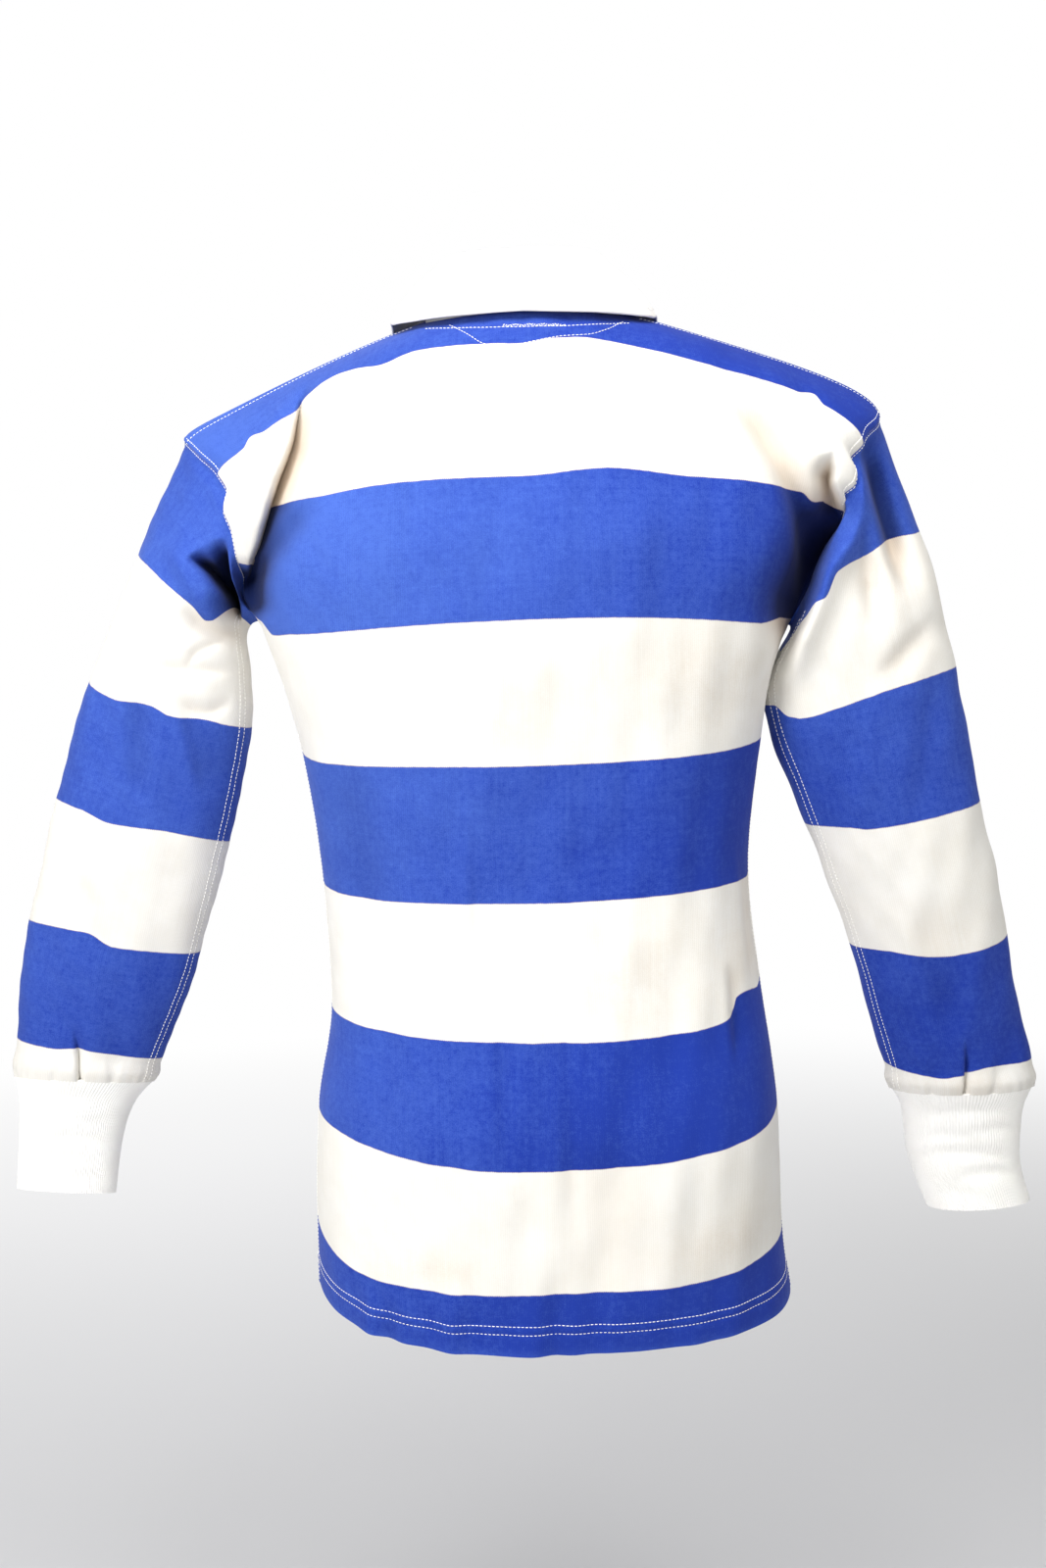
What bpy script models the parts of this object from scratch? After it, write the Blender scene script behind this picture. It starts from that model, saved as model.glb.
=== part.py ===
"""Long-sleeved hooped rugby shirt, hollow, in the form it has when it is worn.

Metres, +Z up, the front faces -Y and the wearer's left is +X. The origin lies in
the middle of the neck opening, level with the inner ends of the shoulder seams.
Every cloth piece is a thin wall: an outer skin read from smooth functions of the
cloth's own lengths, and an inner skin a wall's thickness inside it.
"""
import math

import bpy
import numpy as np
from mathutils import Vector

# ---------------------------------------------------------------- driving sizes
WALL = 0.0018            # jersey of the body and sleeves
COLLAR_WALL = 0.0022
CUFF_WALL = 0.0024
SEAM_GAP = 0.0003        # between two pieces that are sewn together
CORNER_GAP = 1.4         # times that where three meet
LAY_GAP = 0.0005         # between a panel and what lies on it

ARMHOLE_LENGTH = 0.266   # from the shoulder tip to the underarm, along the cloth
BODY_LENGTH = 0.814      # from the shoulder line to the hem
NECK_POINT = 0.19        # share of the half width where the shoulder seam starts
BACK_NECK_DROP = 0.031   # along the cloth
FRONT_NECK_DROP = 0.095
SEAM_BEHIND_RIDGE = 0.018
RIDGE_RISE = 0.0035
TIP_DEPTH = 0.006        # the shoulder tip lies this far behind the side seam
ARMHOLE_DEPTH = {"back": 0.058, "front": -0.054}
MEAN_DEPTH = 0.11        # of the body, for the way that its folds face
FOLD_START = 0.04        # no fold reaches nearer to the shoulder line than this
SEAM_CALM = 0.75         # share of the armhole below which folds die out at the seam

SLEEVE_LENGTH = 0.533    # without its cuff
CUFF_CALM = 0.03         # no fold reaches nearer to the cuff seam than this
CUFF_SHOULDER = 0.014    # length over which the cuff draws the sleeve in
ARMHOLE_FADE = 0.14      # length over which the armhole's own shape fades out

RIB_HEIGHT = 0.0005
RIB_POINTS = 6           # outer points for each inner point of a cuff

PLACKET_WIDTH = 0.032
PLACKET_START = 0.099    # its ends, along the cloth
PLACKET_END = 0.262
PLACKET_WALL = 0.0016
BUTTON_RADIUS = 0.007
BUTTON_FACE = 0.006      # radius inside its worn edge
BUTTON_THICK = 0.0034
BUTTON_PLACES = (0.128, 0.176, 0.224)
BUTTON_SIDES = 24

NECK_COLUMNS = 4         # mesh columns from the centre to the neck point
SHOULDER_COLUMNS = 9     # and from there to the side
ARMHOLE_ROWS = 14
SIDE_ROWS = 14
SLEEVE_ROWS = 16
CUFF_ROWS = 3
COLLAR_COLUMNS = 48      # three to each neckline column of the panels
PLACKET_COLUMNS = 4
PLACKET_ROWS = 9
TOP_CROWDING = 3         # power by which the neck's dip dies out of the rows below it
SLEEVE_CROWDING = 1.15   # power that packs the sleeve's rings towards the armhole


def table(names, rows):
    """Named columns from the rows of a short table."""
    return dict(zip(names.split(), np.array(rows, float).T))


# ------------------------------------------------------------- the body's forms
# s is the cloth's length below the shoulder line. The columns 1, 2 and 3 lie at
# one third, two thirds and the whole of the way round from the centre to the side.
BACK_CENTRE = table("s y z", [
    (0.000, 0.018, 0.010),
    (0.031, 0.060, -0.004),
    (0.062, 0.085, -0.031),
    (0.112, 0.106, -0.080),
    (0.163, 0.118, -0.130),
    (0.215, 0.126, -0.181),
    (0.266, 0.125, -0.2326),
    (0.372, 0.108, -0.339),
    (0.475, 0.098, -0.4417),
    (0.577, 0.108, -0.5435),
    (0.673, 0.125, -0.6373),
    (0.765, 0.123, -0.7293),
    (0.814, 0.118, -0.7777),
])
BACK_LEFT = table("s x3 y1 y2 z1 z2 z3", [
    (0.000, 0.2660, 0.012, 0.010, -0.0225, -0.065, -0.0865),
    (0.031, 0.2500, 0.042, 0.036, -0.0300, -0.077, -0.1020),
    (0.062, 0.2350, 0.070, 0.060, -0.0450, -0.091, -0.1170),
    (0.112, 0.2265, 0.094, 0.077, -0.0880, -0.120, -0.1470),
    (0.163, 0.2220, 0.111, 0.086, -0.1330, -0.151, -0.1780),
    (0.215, 0.2200, 0.119, 0.089, -0.1850, -0.194, -0.2060),
    (0.266, 0.2110, 0.116, 0.079, -0.2370, -0.240, -0.2240),
    (0.372, 0.1830, 0.100, 0.065, -0.3380, -0.336, -0.3290),
    (0.475, 0.1700, 0.090, 0.057, -0.4400, -0.437, -0.4320),
    (0.577, 0.1660, 0.099, 0.062, -0.5400, -0.534, -0.5270),
    (0.673, 0.1795, 0.115, 0.073, -0.6320, -0.622, -0.6130),
    (0.765, 0.1845, 0.113, 0.072, -0.7260, -0.718, -0.7080),
    (0.814, 0.1850, 0.108, 0.070, -0.7730, -0.764, -0.7580),
])
BACK_RIGHT = table("s x3 y1 y2 z1 z2 z3", [
    (0.000, 0.2735, 0.012, 0.010, -0.0175, -0.053, -0.0820),
    (0.031, 0.2620, 0.042, 0.038, -0.0260, -0.061, -0.0920),
    (0.062, 0.2490, 0.069, 0.064, -0.0430, -0.072, -0.1030),
    (0.112, 0.2430, 0.094, 0.081, -0.0880, -0.107, -0.1300),
    (0.163, 0.2330, 0.111, 0.088, -0.1330, -0.143, -0.1560),
    (0.215, 0.2220, 0.119, 0.088, -0.1840, -0.190, -0.2020),
    (0.266, 0.2005, 0.116, 0.078, -0.2335, -0.239, -0.2400),
    (0.372, 0.1785, 0.100, 0.064, -0.3370, -0.332, -0.3240),
    (0.475, 0.1665, 0.090, 0.056, -0.4400, -0.437, -0.4320),
    (0.577, 0.1750, 0.099, 0.064, -0.5440, -0.538, -0.5260),
    (0.673, 0.1865, 0.115, 0.076, -0.6370, -0.632, -0.6250),
    (0.765, 0.1890, 0.113, 0.074, -0.7300, -0.728, -0.7250),
    (0.814, 0.1945, 0.108, 0.073, -0.7780, -0.775, -0.7700),
])
# The front starts below the ridge of the shoulder; both its halves are alike.
FRONT_CENTRE = table("s y z", [
    (0.062, -0.045, -0.022),
    (0.112, -0.080, -0.068),
    (0.163, -0.100, -0.117),
    (0.215, -0.114, -0.169),
    (0.266, -0.121, -0.221),
    (0.372, -0.124, -0.327),
    (0.475, -0.120, -0.430),
    (0.577, -0.119, -0.532),
    (0.673, -0.121, -0.628),
    (0.765, -0.119, -0.720),
    (0.814, -0.117, -0.769),
])
FRONT_SIDE = table("s y1 y2 z1 z2", [
    (0.062, -0.043, -0.036, -0.036, -0.077),
    (0.112, -0.075, -0.061, -0.078, -0.112),
    (0.163, -0.094, -0.074, -0.125, -0.149),
    (0.215, -0.107, -0.080, -0.175, -0.191),
    (0.266, -0.112, -0.077, -0.225, -0.231),
    (0.372, -0.113, -0.070, -0.328, -0.328),
    (0.475, -0.107, -0.064, -0.431, -0.431),
    (0.577, -0.107, -0.065, -0.532, -0.530),
    (0.673, -0.111, -0.071, -0.627, -0.622),
    (0.765, -0.110, -0.071, -0.718, -0.716),
    (0.814, -0.108, -0.070, -0.767, -0.765),
])

# ------------------------------------------------------------ the sleeves' forms
# t is the cloth's length from the armhole. A section's outer and inner ends lie
# on the sleeve's top and under lines, and depth is half its size along Y.
LEFT_SLEEVE = table("t x_out z_out x_in z_in y depth", [
    (0.000, 0.2660, -0.0880, 0.2110, -0.2240, 0.003, 0.058),
    (0.050, 0.2837, -0.1270, 0.2155, -0.2320, 0.003, 0.058),
    (0.102, 0.3055, -0.1710, 0.2195, -0.2480, 0.002, 0.056),
    (0.150, 0.3269, -0.2190, 0.2210, -0.2760, 0.001, 0.053),
    (0.203, 0.3493, -0.2684, 0.2238, -0.3104, -0.002, 0.050),
    (0.305, 0.3824, -0.3634, 0.2465, -0.4009, -0.015, 0.047),
    (0.406, 0.4149, -0.4656, 0.2752, -0.4936, -0.035, 0.044),
    (0.457, 0.4261, -0.5161, 0.2962, -0.5426, -0.046, 0.043),
    (0.508, 0.4346, -0.5696, 0.3184, -0.5885, -0.058, 0.041),
    (0.533, 0.4411, -0.6001, 0.3270, -0.6082, -0.064, 0.039),
])
RIGHT_SLEEVE = table("t x_out z_out x_in z_in y depth", [
    (0.000, 0.2735, -0.0830, 0.2005, -0.2400, 0.003, 0.058),
    (0.050, 0.2904, -0.1321, 0.2025, -0.2510, 0.003, 0.058),
    (0.102, 0.3031, -0.1712, 0.2000, -0.2660, 0.002, 0.056),
    (0.150, 0.3181, -0.2227, 0.1945, -0.2870, 0.001, 0.053),
    (0.203, 0.3329, -0.2769, 0.1935, -0.3110, -0.002, 0.050),
    (0.305, 0.3551, -0.3852, 0.2167, -0.4013, -0.015, 0.047),
    (0.406, 0.3815, -0.4964, 0.2523, -0.5011, -0.035, 0.044),
    (0.457, 0.3940, -0.5527, 0.2692, -0.5510, -0.046, 0.043),
    (0.508, 0.4063, -0.6060, 0.2858, -0.6063, -0.058, 0.041),
    (0.533, 0.4113, -0.6287, 0.2918, -0.6297, -0.064, 0.039),
])
LEFT_CUFF = table("t x_out z_out x_in z_in y depth", [
    (0.000, 0.4411, -0.6001, 0.3270, -0.6082, -0.064, 0.039),
    (0.014, 0.4400, -0.6170, 0.3420, -0.6220, -0.067, 0.034),
    (0.050, 0.4450, -0.6600, 0.3590, -0.6640, -0.077, 0.030),
    (0.085, 0.4510, -0.7030, 0.3675, -0.7095, -0.084, 0.028),
])
RIGHT_CUFF = table("t x_out z_out x_in z_in y depth", [
    (0.000, 0.4113, -0.6287, 0.2918, -0.6297, -0.064, 0.039),
    (0.014, 0.4030, -0.6470, 0.3010, -0.6420, -0.067, 0.034),
    (0.050, 0.4030, -0.6920, 0.3070, -0.6860, -0.077, 0.030),
    (0.085, 0.4143, -0.7345, 0.3260, -0.7385, -0.084, 0.028),
])

# -------------------------------------------------------------------- the collar
# way runs from 0 at the centre back to 1 at the centre front, on either side.
LEAF_EDGE = table("way x y z", [
    (0.00, 0.000, 0.0745, -0.0068),
    (0.17, 0.048, 0.0665, -0.0074),
    (0.30, 0.080, 0.0485, -0.0074),
    (0.42, 0.0975, 0.0300, -0.0066),
    (0.52, 0.103, 0.0040, -0.0022),
    (0.64, 0.104, -0.0275, -0.0130),
    (0.78, 0.098, -0.0605, -0.0400),
    (0.90, 0.080, -0.0845, -0.0700),
    (1.00, 0.060, -0.0960, -0.0920),
])
FOLD_LINE = table("way z", [
    (0.00, 0.0405),
    (0.50, 0.0430),
    (0.70, 0.0290),
    (0.85, 0.0050),
    (1.00, -0.0190),
])
FOLD_HALF_WIDTH = 0.0625
FOLD_BACK = 0.0590
FOLD_FRONT = 0.0640
FOLD_RADIUS = 0.0034
COLLAR_OPENING = 0.985   # the way at which each half of the collar ends
LEAF_BULGE = 0.005

# --------------------------------------------------------------------- the folds
# Soft troughs between two points seen from behind or in front; a depth below
# nought is a ridge.
FOLDS = "x0 z0 x1 z1 width depth"
BACK_FOLDS = table(FOLDS, [
    (0.155, -0.065, 0.188, -0.147, 0.012, 0.013),
    (0.184, -0.132, 0.213, -0.212, 0.012, 0.016),
    (0.200, -0.100, 0.216, -0.150, 0.012, -0.006),
    (-0.152, -0.085, -0.190, -0.142, 0.013, 0.009),
    (-0.221, -0.112, -0.224, -0.152, 0.008, 0.006),
    (-0.220, -0.148, -0.203, -0.232, 0.017, 0.017),
    (-0.160, -0.430, -0.149, -0.560, 0.011, 0.005),
    (0.146, -0.330, 0.125, -0.480, 0.022, 0.003),
    (-0.030, -0.600, -0.060, -0.740, 0.030, 0.003),
])
FRONT_FOLDS = table(FOLDS, [
    (0.140, -0.080, 0.196, -0.205, 0.014, 0.014),
    (-0.140, -0.075, -0.196, -0.210, 0.014, 0.012),
    (0.120, -0.250, 0.080, -0.420, 0.024, 0.004),
    (-0.105, -0.300, -0.060, -0.500, 0.026, 0.004),
    (0.050, -0.560, 0.085, -0.740, 0.026, 0.005),
    (-0.075, -0.540, -0.110, -0.700, 0.028, 0.004),
])
SLEEVE_BACK_FOLDS = table(FOLDS, [
    (0.226, -0.150, 0.262, -0.207, 0.011, 0.016),
    (0.262, -0.212, 0.222, -0.236, 0.009, 0.008),
    (0.235, -0.290, 0.330, -0.250, 0.010, 0.003),
    (0.300, -0.320, 0.312, -0.400, 0.012, 0.003),
    (-0.262, -0.140, -0.232, -0.210, 0.014, 0.009),
    (-0.240, -0.160, -0.206, -0.240, 0.009, -0.006),
    (-0.310, -0.190, -0.262, -0.262, 0.013, 0.005),
    (-0.300, -0.480, -0.330, -0.560, 0.014, 0.003),
])
SLEEVE_FRONT_FOLDS = table(FOLDS, [
    (0.230, -0.150, 0.262, -0.215, 0.012, 0.013),
    (-0.234, -0.150, -0.260, -0.225, 0.012, 0.012),
    (0.262, -0.400, 0.350, -0.450, 0.013, 0.006),
    (0.275, -0.430, 0.372, -0.475, 0.012, 0.005),
    (-0.238, -0.410, -0.320, -0.465, 0.013, 0.006),
    (-0.252, -0.450, -0.345, -0.495, 0.012, 0.004),
])
HEM_WAVES = ((0.034, 0.0022), (0.071, 0.0030), (0.113, 0.0018))
HEM_WAVE_REACH = 0.045


# -------------------------------------------------------------- curves and folds
def smooth(value):
    """0 to 1 with soft ends."""
    value = np.clip(value, 0.0, 1.0)
    return value * value * (3.0 - 2.0 * value)


def along(knots, values, at):
    """Smooth curve through the knots that never overshoots them."""
    knots, values = np.asarray(knots), np.asarray(values)
    step = np.diff(knots)
    rise = np.diff(values) / step
    slope = np.empty_like(values)
    slope[0], slope[-1] = rise[0], rise[-1]
    same = rise[1:] * rise[:-1] > 0.0
    first, second = 2.0 * step[1:] + step[:-1], step[1:] + 2.0 * step[:-1]
    with np.errstate(divide="ignore", invalid="ignore"):
        mean = (first + second) / (first / rise[:-1] + second / rise[1:])
    slope[1:-1] = np.where(same, mean, 0.0)
    at = np.clip(at, knots[0], knots[-1])
    i = np.clip(np.searchsorted(knots, at) - 1, 0, len(step) - 1)
    h = step[i]
    q = (at - knots[i]) / h
    return ((1 + 2 * q) * (1 - q) ** 2 * values[i] + q * (1 - q) ** 2 * h * slope[i]
            + q * q * (3 - 2 * q) * values[i + 1] + q * q * (q - 1) * h * slope[i + 1])


def across(stations, at):
    """Natural spline through seven stations spaced evenly from -1 to 1."""
    count, h = 7, 1.0 / 3.0
    matrix = np.eye(count)
    bend = np.zeros((count, count))
    for i in range(1, count - 1):
        matrix[i, i - 1:i + 2] = 1.0, 4.0, 1.0
        bend[i, i - 1:i + 2] = 1.0, -2.0, 1.0
    second = np.linalg.solve(matrix, bend)
    i = np.clip(((at + 1.0) / h).astype(int), 0, count - 2)
    b = (at + 1.0) / h - i
    a = 1.0 - b
    weights = np.zeros(at.shape + (count,))
    rows = np.indices(at.shape)
    weights[(*rows, i)] += a
    weights[(*rows, i + 1)] += b
    weights += (a ** 3 - a)[..., None] * second[i] + (b ** 3 - b)[..., None] * second[i + 1]
    return (weights * np.stack(stations, -1)).sum(-1)


def fold_shift(x, z, folds):
    """How far the folds move a point outward."""
    shift = np.zeros_like(x)
    for x0, z0, x1, z1, width, depth in zip(*(folds[name] for name in FOLDS.split())):
        length = math.hypot(x1 - x0, z1 - z0)
        ex, ez = (x1 - x0) / length, (z1 - z0) / length
        way = ((x - x0) * ex + (z - z0) * ez) / length
        off = (x - x0) * ez - (z - z0) * ex
        taper = np.sin(np.pi * np.clip((way + 0.15) / 1.3, 0.0, 1.0)) ** 2
        shift -= depth * np.exp(-(off / width) ** 2) * taper
    return shift


# -------------------------------------------------------------------- the panels
def side_depth(side, s):
    """Y of a panel's side edge: round the armhole, then straight down the side seam."""
    share = np.clip(s / ARMHOLE_LENGTH, 0.0, 1.0)
    bow = np.sin(np.pi * share) ** 0.75
    return TIP_DEPTH * (1.0 - share) + ARMHOLE_DEPTH[side] * np.abs(bow)


def back_stations(name, s):
    """Y or Z of the back at its seven stations, from the right side to the left."""
    middle = [along(BACK_CENTRE["s"], BACK_CENTRE[name], s)]
    halves = []
    for form in (BACK_RIGHT, BACK_LEFT):
        half = [along(form["s"], form[name + k], s) for k in "12"]
        half.append(side_depth("back", s) if name == "y" else along(form["s"], form["z3"], s))
        halves.append(half)
    return halves[0][::-1] + middle + halves[1]


def front_stations(name, s):
    """The same for the front, which shares the back's shoulder line and side seams."""
    ridge = RIDGE_RISE if name == "z" else -SEAM_BEHIND_RIDGE

    def over_ridge(start, form, column):
        knots = np.concatenate([[0.0, SEAM_BEHIND_RIDGE], form["s"]])
        return along(knots, np.concatenate([[start, start + ridge], form[column]]), s)

    middle = [over_ridge(BACK_CENTRE[name][0], FRONT_CENTRE, name)]
    halves = []
    for form in (BACK_RIGHT, BACK_LEFT):
        half = [over_ridge(form[name + k][0], FRONT_SIDE, name + k) for k in "12"]
        half.append(side_depth("front", s) if name == "y" else along(form["s"], form["z3"], s))
        halves.append(half)
    return halves[0][::-1] + middle + halves[1]


def panel(side, u, s):
    """A point of the back or front: u runs from the right side to the left."""
    reach = np.where(u >= 0.0, along(BACK_LEFT["s"], BACK_LEFT["x3"], s),
                     along(BACK_RIGHT["s"], BACK_RIGHT["x3"], s))
    x = reach * np.sin(u * np.pi / 2.0)
    stations = back_stations if side == "back" else front_stations
    y, z = across(stations("y", s), u), across(stations("z", s), u)
    folds = BACK_FOLDS if side == "back" else FRONT_FOLDS
    shift = fold_shift(x, z, folds)
    for i, (pitch, height) in enumerate(HEM_WAVES):
        turn = x / pitch + (i if side == "back" else i + 1.7)
        shift = shift + height * np.sin(turn) * np.exp((s - BODY_LENGTH) / HEM_WAVE_REACH)
    seam = smooth((s / ARMHOLE_LENGTH - SEAM_CALM) / (1.0 - SEAM_CALM))
    shift = shift * (1.0 - seam * np.abs(u) ** 6) * smooth(s / FOLD_START)
    away_x, away_y = x / reach ** 2, y / MEAN_DEPTH ** 2
    size = np.hypot(away_x, away_y) + 1e-9
    return np.stack([x + shift * away_x / size, y + shift * away_y / size, z], -1)


def neck_edge(side, turn):
    """u and s of the neckline; turn is 0 at the centre and 1 at the neck point."""
    u = NECK_POINT * np.sin(turn * np.pi / 2.0)
    drop = np.abs(np.cos(turn * np.pi / 2.0))
    if side == "back":
        return u, BACK_NECK_DROP * drop
    return u, FRONT_NECK_DROP * drop ** 1.3


def panel_grid(side):
    """The outer skin's rows, from the neckline and shoulders down to the hem."""
    turn = np.linspace(0.0, 1.0, NECK_COLUMNS + 1)
    neck_u, neck_s = neck_edge(side, turn)
    side_u = np.linspace(NECK_POINT, 1.0, SHOULDER_COLUMNS + 1)[1:]
    half_u = np.concatenate([neck_u, side_u])
    half_top = np.concatenate([neck_s, np.zeros(len(side_u))])
    u = np.concatenate([-half_u[:0:-1], half_u])
    top = np.concatenate([half_top[:0:-1], half_top])
    down = np.concatenate([np.linspace(0.0, ARMHOLE_LENGTH, ARMHOLE_ROWS + 1),
                           np.linspace(ARMHOLE_LENGTH, BODY_LENGTH, SIDE_ROWS + 1)[1:]])
    down = down / BODY_LENGTH
    s = BODY_LENGTH * down[:, None] + top[None, :] * (1.0 - down[:, None]) ** TOP_CROWDING
    return panel(side, np.broadcast_to(u, s.shape).copy(), s)


# ------------------------------------------------------------------- the sleeves
def section(form, sign, t, turn):
    """A point of a sleeve or cuff; turn is 0 on its top line and runs round the back."""
    out = np.stack([sign * along(form["t"], form["x_out"], t), 0 * t,
                    along(form["t"], form["z_out"], t)], -1)
    into = np.stack([sign * along(form["t"], form["x_in"], t), 0 * t,
                     along(form["t"], form["z_in"], t)], -1)
    y, depth = along(form["t"], form["y"], t), along(form["t"], form["depth"], t)
    angle = 2.0 * np.pi * turn
    point = (out + into) / 2.0 + (out - into) / 2.0 * np.cos(angle)[..., None]
    point[..., 1] = y + depth * np.sin(angle)
    return point


def armhole(sign):
    """The closed armhole edge: down the back from the shoulder tip, up the front."""
    s = np.linspace(0.0, ARMHOLE_LENGTH, ARMHOLE_ROWS + 1)
    u = np.full_like(s, sign)
    back, front = panel("back", u, s), panel("front", u, s)
    return np.concatenate([back, front[-2:0:-1]])


def sleeve_grid(sign):
    form = LEFT_SLEEVE if sign > 0 else RIGHT_SLEEVE
    ring = 2 * ARMHOLE_ROWS
    steps = np.linspace(0.0, 1.0, SLEEVE_ROWS + 1)
    t = SLEEVE_LENGTH * steps ** SLEEVE_CROWDING
    turn = np.arange(ring) / ring
    t, turn = np.meshgrid(t, turn, indexing="ij")
    point = section(form, sign, t, turn)
    fade = 1.0 - smooth(t / ARMHOLE_FADE)
    point = point + (armhole(sign) - section(form, sign, 0 * t, turn)) * fade[..., None]
    angle = 2.0 * np.pi * turn
    behind = np.sin(angle)
    shift = (fold_shift(point[..., 0], point[..., 2], SLEEVE_BACK_FOLDS) * smooth(behind * 3.0)
             + fold_shift(point[..., 0], point[..., 2], SLEEVE_FRONT_FOLDS) * smooth(-behind * 3.0))
    shift = shift * (1.0 - fade) * smooth((SLEEVE_LENGTH - t) / CUFF_CALM)
    point[..., 0] += shift * np.cos(angle) * sign
    point[..., 1] += shift * np.sin(angle)
    return point


# --------------------------------------------------------------- thickness, mesh
def unit(vectors):
    return vectors / (np.linalg.norm(vectors, axis=-1, keepdims=True) + 1e-12)


def normals(grid, closed):
    """Unit normals of a grid of points; closed joins its last column to its first."""
    down = np.gradient(grid, axis=0)
    if closed:
        round_ = np.roll(grid, -1, axis=1) - np.roll(grid, 1, axis=1)
    else:
        round_ = np.gradient(grid, axis=1)
    return unit(np.cross(down, round_))


def cuff_seam_axis(sign):
    """The way down the arm, square to the plane where a sleeve meets its cuff."""
    form = LEFT_CUFF if sign > 0 else RIGHT_CUFF
    width = sign * (form["x_out"][0] - form["x_in"][0]), 0.0, form["z_out"][0] - form["z_in"][0]
    axis = unit(np.cross(width, (0.0, 1.0, 0.0)))
    return axis if axis[2] < 0.0 else -axis


def flat_rim(facing, axis):
    """An end ring's normals turned square to the axis, so that its rim is flat."""
    return unit(facing - (facing @ axis)[:, None] * axis)


def inward(grid, closed):
    """At the edges of a grid, the unit direction into the cloth, square to the edge."""
    into = np.zeros_like(grid)

    def square(edge, inside, looped):
        if looped:
            run = unit(np.roll(edge, -1, axis=0) - np.roll(edge, 1, axis=0))
        else:
            run = unit(np.gradient(edge, axis=0))
        step = inside - edge
        return unit(step - (step * run).sum(-1, keepdims=True) * run)

    into[0] += square(grid[0], grid[1], closed)
    into[-1] += square(grid[-1], grid[-2], closed)
    if not closed:
        into[:, 0] += square(grid[:, 0], grid[:, 1], False)
        into[:, -1] += square(grid[:, -1], grid[:, -2], False)
    return into


def join_seams(grids, closed, fields):
    """Where pieces are sewn together they take one normal and move a gap apart."""
    into = [inward(grid, tube) for grid, tube in zip(grids, closed)]
    meeting = {}
    for piece, grid in enumerate(grids):
        for place in np.ndindex(grid.shape[:2]):
            key = tuple(np.round(grid[place] / 1e-5).astype(int))
            meeting.setdefault(key, []).append((piece, place))
    moves = [np.zeros_like(grid) for grid in grids]
    for group in meeting.values():
        if len(group) < 2:
            continue
        tubes = sum(closed[piece] for piece, _ in group)
        normal = unit(sum(fields[piece][place] / (tubes if closed[piece] else len(group) - tubes)
                          for piece, place in group))
        middle = sum(into[piece][place] for piece, place in group) / len(group)
        for piece, place in group:
            fields[piece][place] = normal
            apart = unit(into[piece][place] - middle)
            moves[piece][place] = apart * SEAM_GAP / 2.0 * (1.0 if len(group) == 2 else CORNER_GAP)
    return moves


def triangles(vertices, faces):
    """Each four-sided face cut along its shorter diagonal."""
    cut = []
    for face in faces:
        if len(face) != 4:
            cut.append(face)
            continue
        a, b, c, d = face
        if np.linalg.norm(vertices[a] - vertices[c]) <= np.linalg.norm(vertices[b] - vertices[d]):
            cut += [(a, b, c), (a, c, d)]
        else:
            cut += [(b, c, d), (b, d, a)]
    return cut


def add_object(name, vertices, faces, material):
    """A closed mesh whose faces point out, shaded smooth."""
    vertices = np.asarray(vertices, float)
    faces = triangles(vertices, faces)
    volume = 0.0
    for face in faces:
        a = vertices[face[0]]
        for i in range(1, len(face) - 1):
            volume += np.dot(a, np.cross(vertices[face[i]], vertices[face[i + 1]]))
    if volume < 0.0:
        faces = [face[::-1] for face in faces]
    mesh = bpy.data.meshes.new(name)
    mesh.from_pydata([tuple(v) for v in vertices], [], [tuple(int(i) for i in f) for f in faces])
    mesh.shade_smooth()
    mesh.set_sharp_from_angle(angle=math.radians(50))
    mesh.materials.append(material)
    thing = bpy.data.objects.new(name, mesh)
    bpy.context.scene.collection.objects.link(thing)
    return thing


def wall(name, outer, inner, closed, material):
    """A sheet with two skins and rims; closed makes it a tube."""
    rows, columns = outer.shape[:2]
    skin = rows * columns
    spans = columns if closed else columns - 1
    faces = []
    for r in range(rows - 1):
        for c in range(spans):
            d = (c + 1) % columns
            a, b, e, f = r * columns + c, r * columns + d, (r + 1) * columns + d, (r + 1) * columns + c
            faces.append((a, b, e, f))
            faces.append((f + skin, e + skin, b + skin, a + skin))
    for c in range(spans):
        d = (c + 1) % columns
        last = (rows - 1) * columns
        faces.append((d, c, c + skin, d + skin))
        faces.append((last + c, last + d, last + d + skin, last + c + skin))
    if not closed:
        for r in range(rows - 1):
            a, b = r * columns, (r + 1) * columns
            faces.append((a, b, b + skin, a + skin))
            a, b = a + columns - 1, b + columns - 1
            faces.append((b, a, a + skin, b + skin))
    vertices = np.concatenate([outer.reshape(-1, 3), inner.reshape(-1, 3)])
    return add_object(name, vertices, faces, material)


def material(name, colour, roughness):
    made = bpy.data.materials.new(name)
    made.use_nodes = True
    shader = made.node_tree.nodes["Principled BSDF"]
    shader.inputs["Base Color"].default_value = (*colour, 1.0)
    shader.inputs["Roughness"].default_value = roughness
    shader.inputs["Metallic"].default_value = 0.0
    made.diffuse_color = (*colour, 1.0)
    return made


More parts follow.
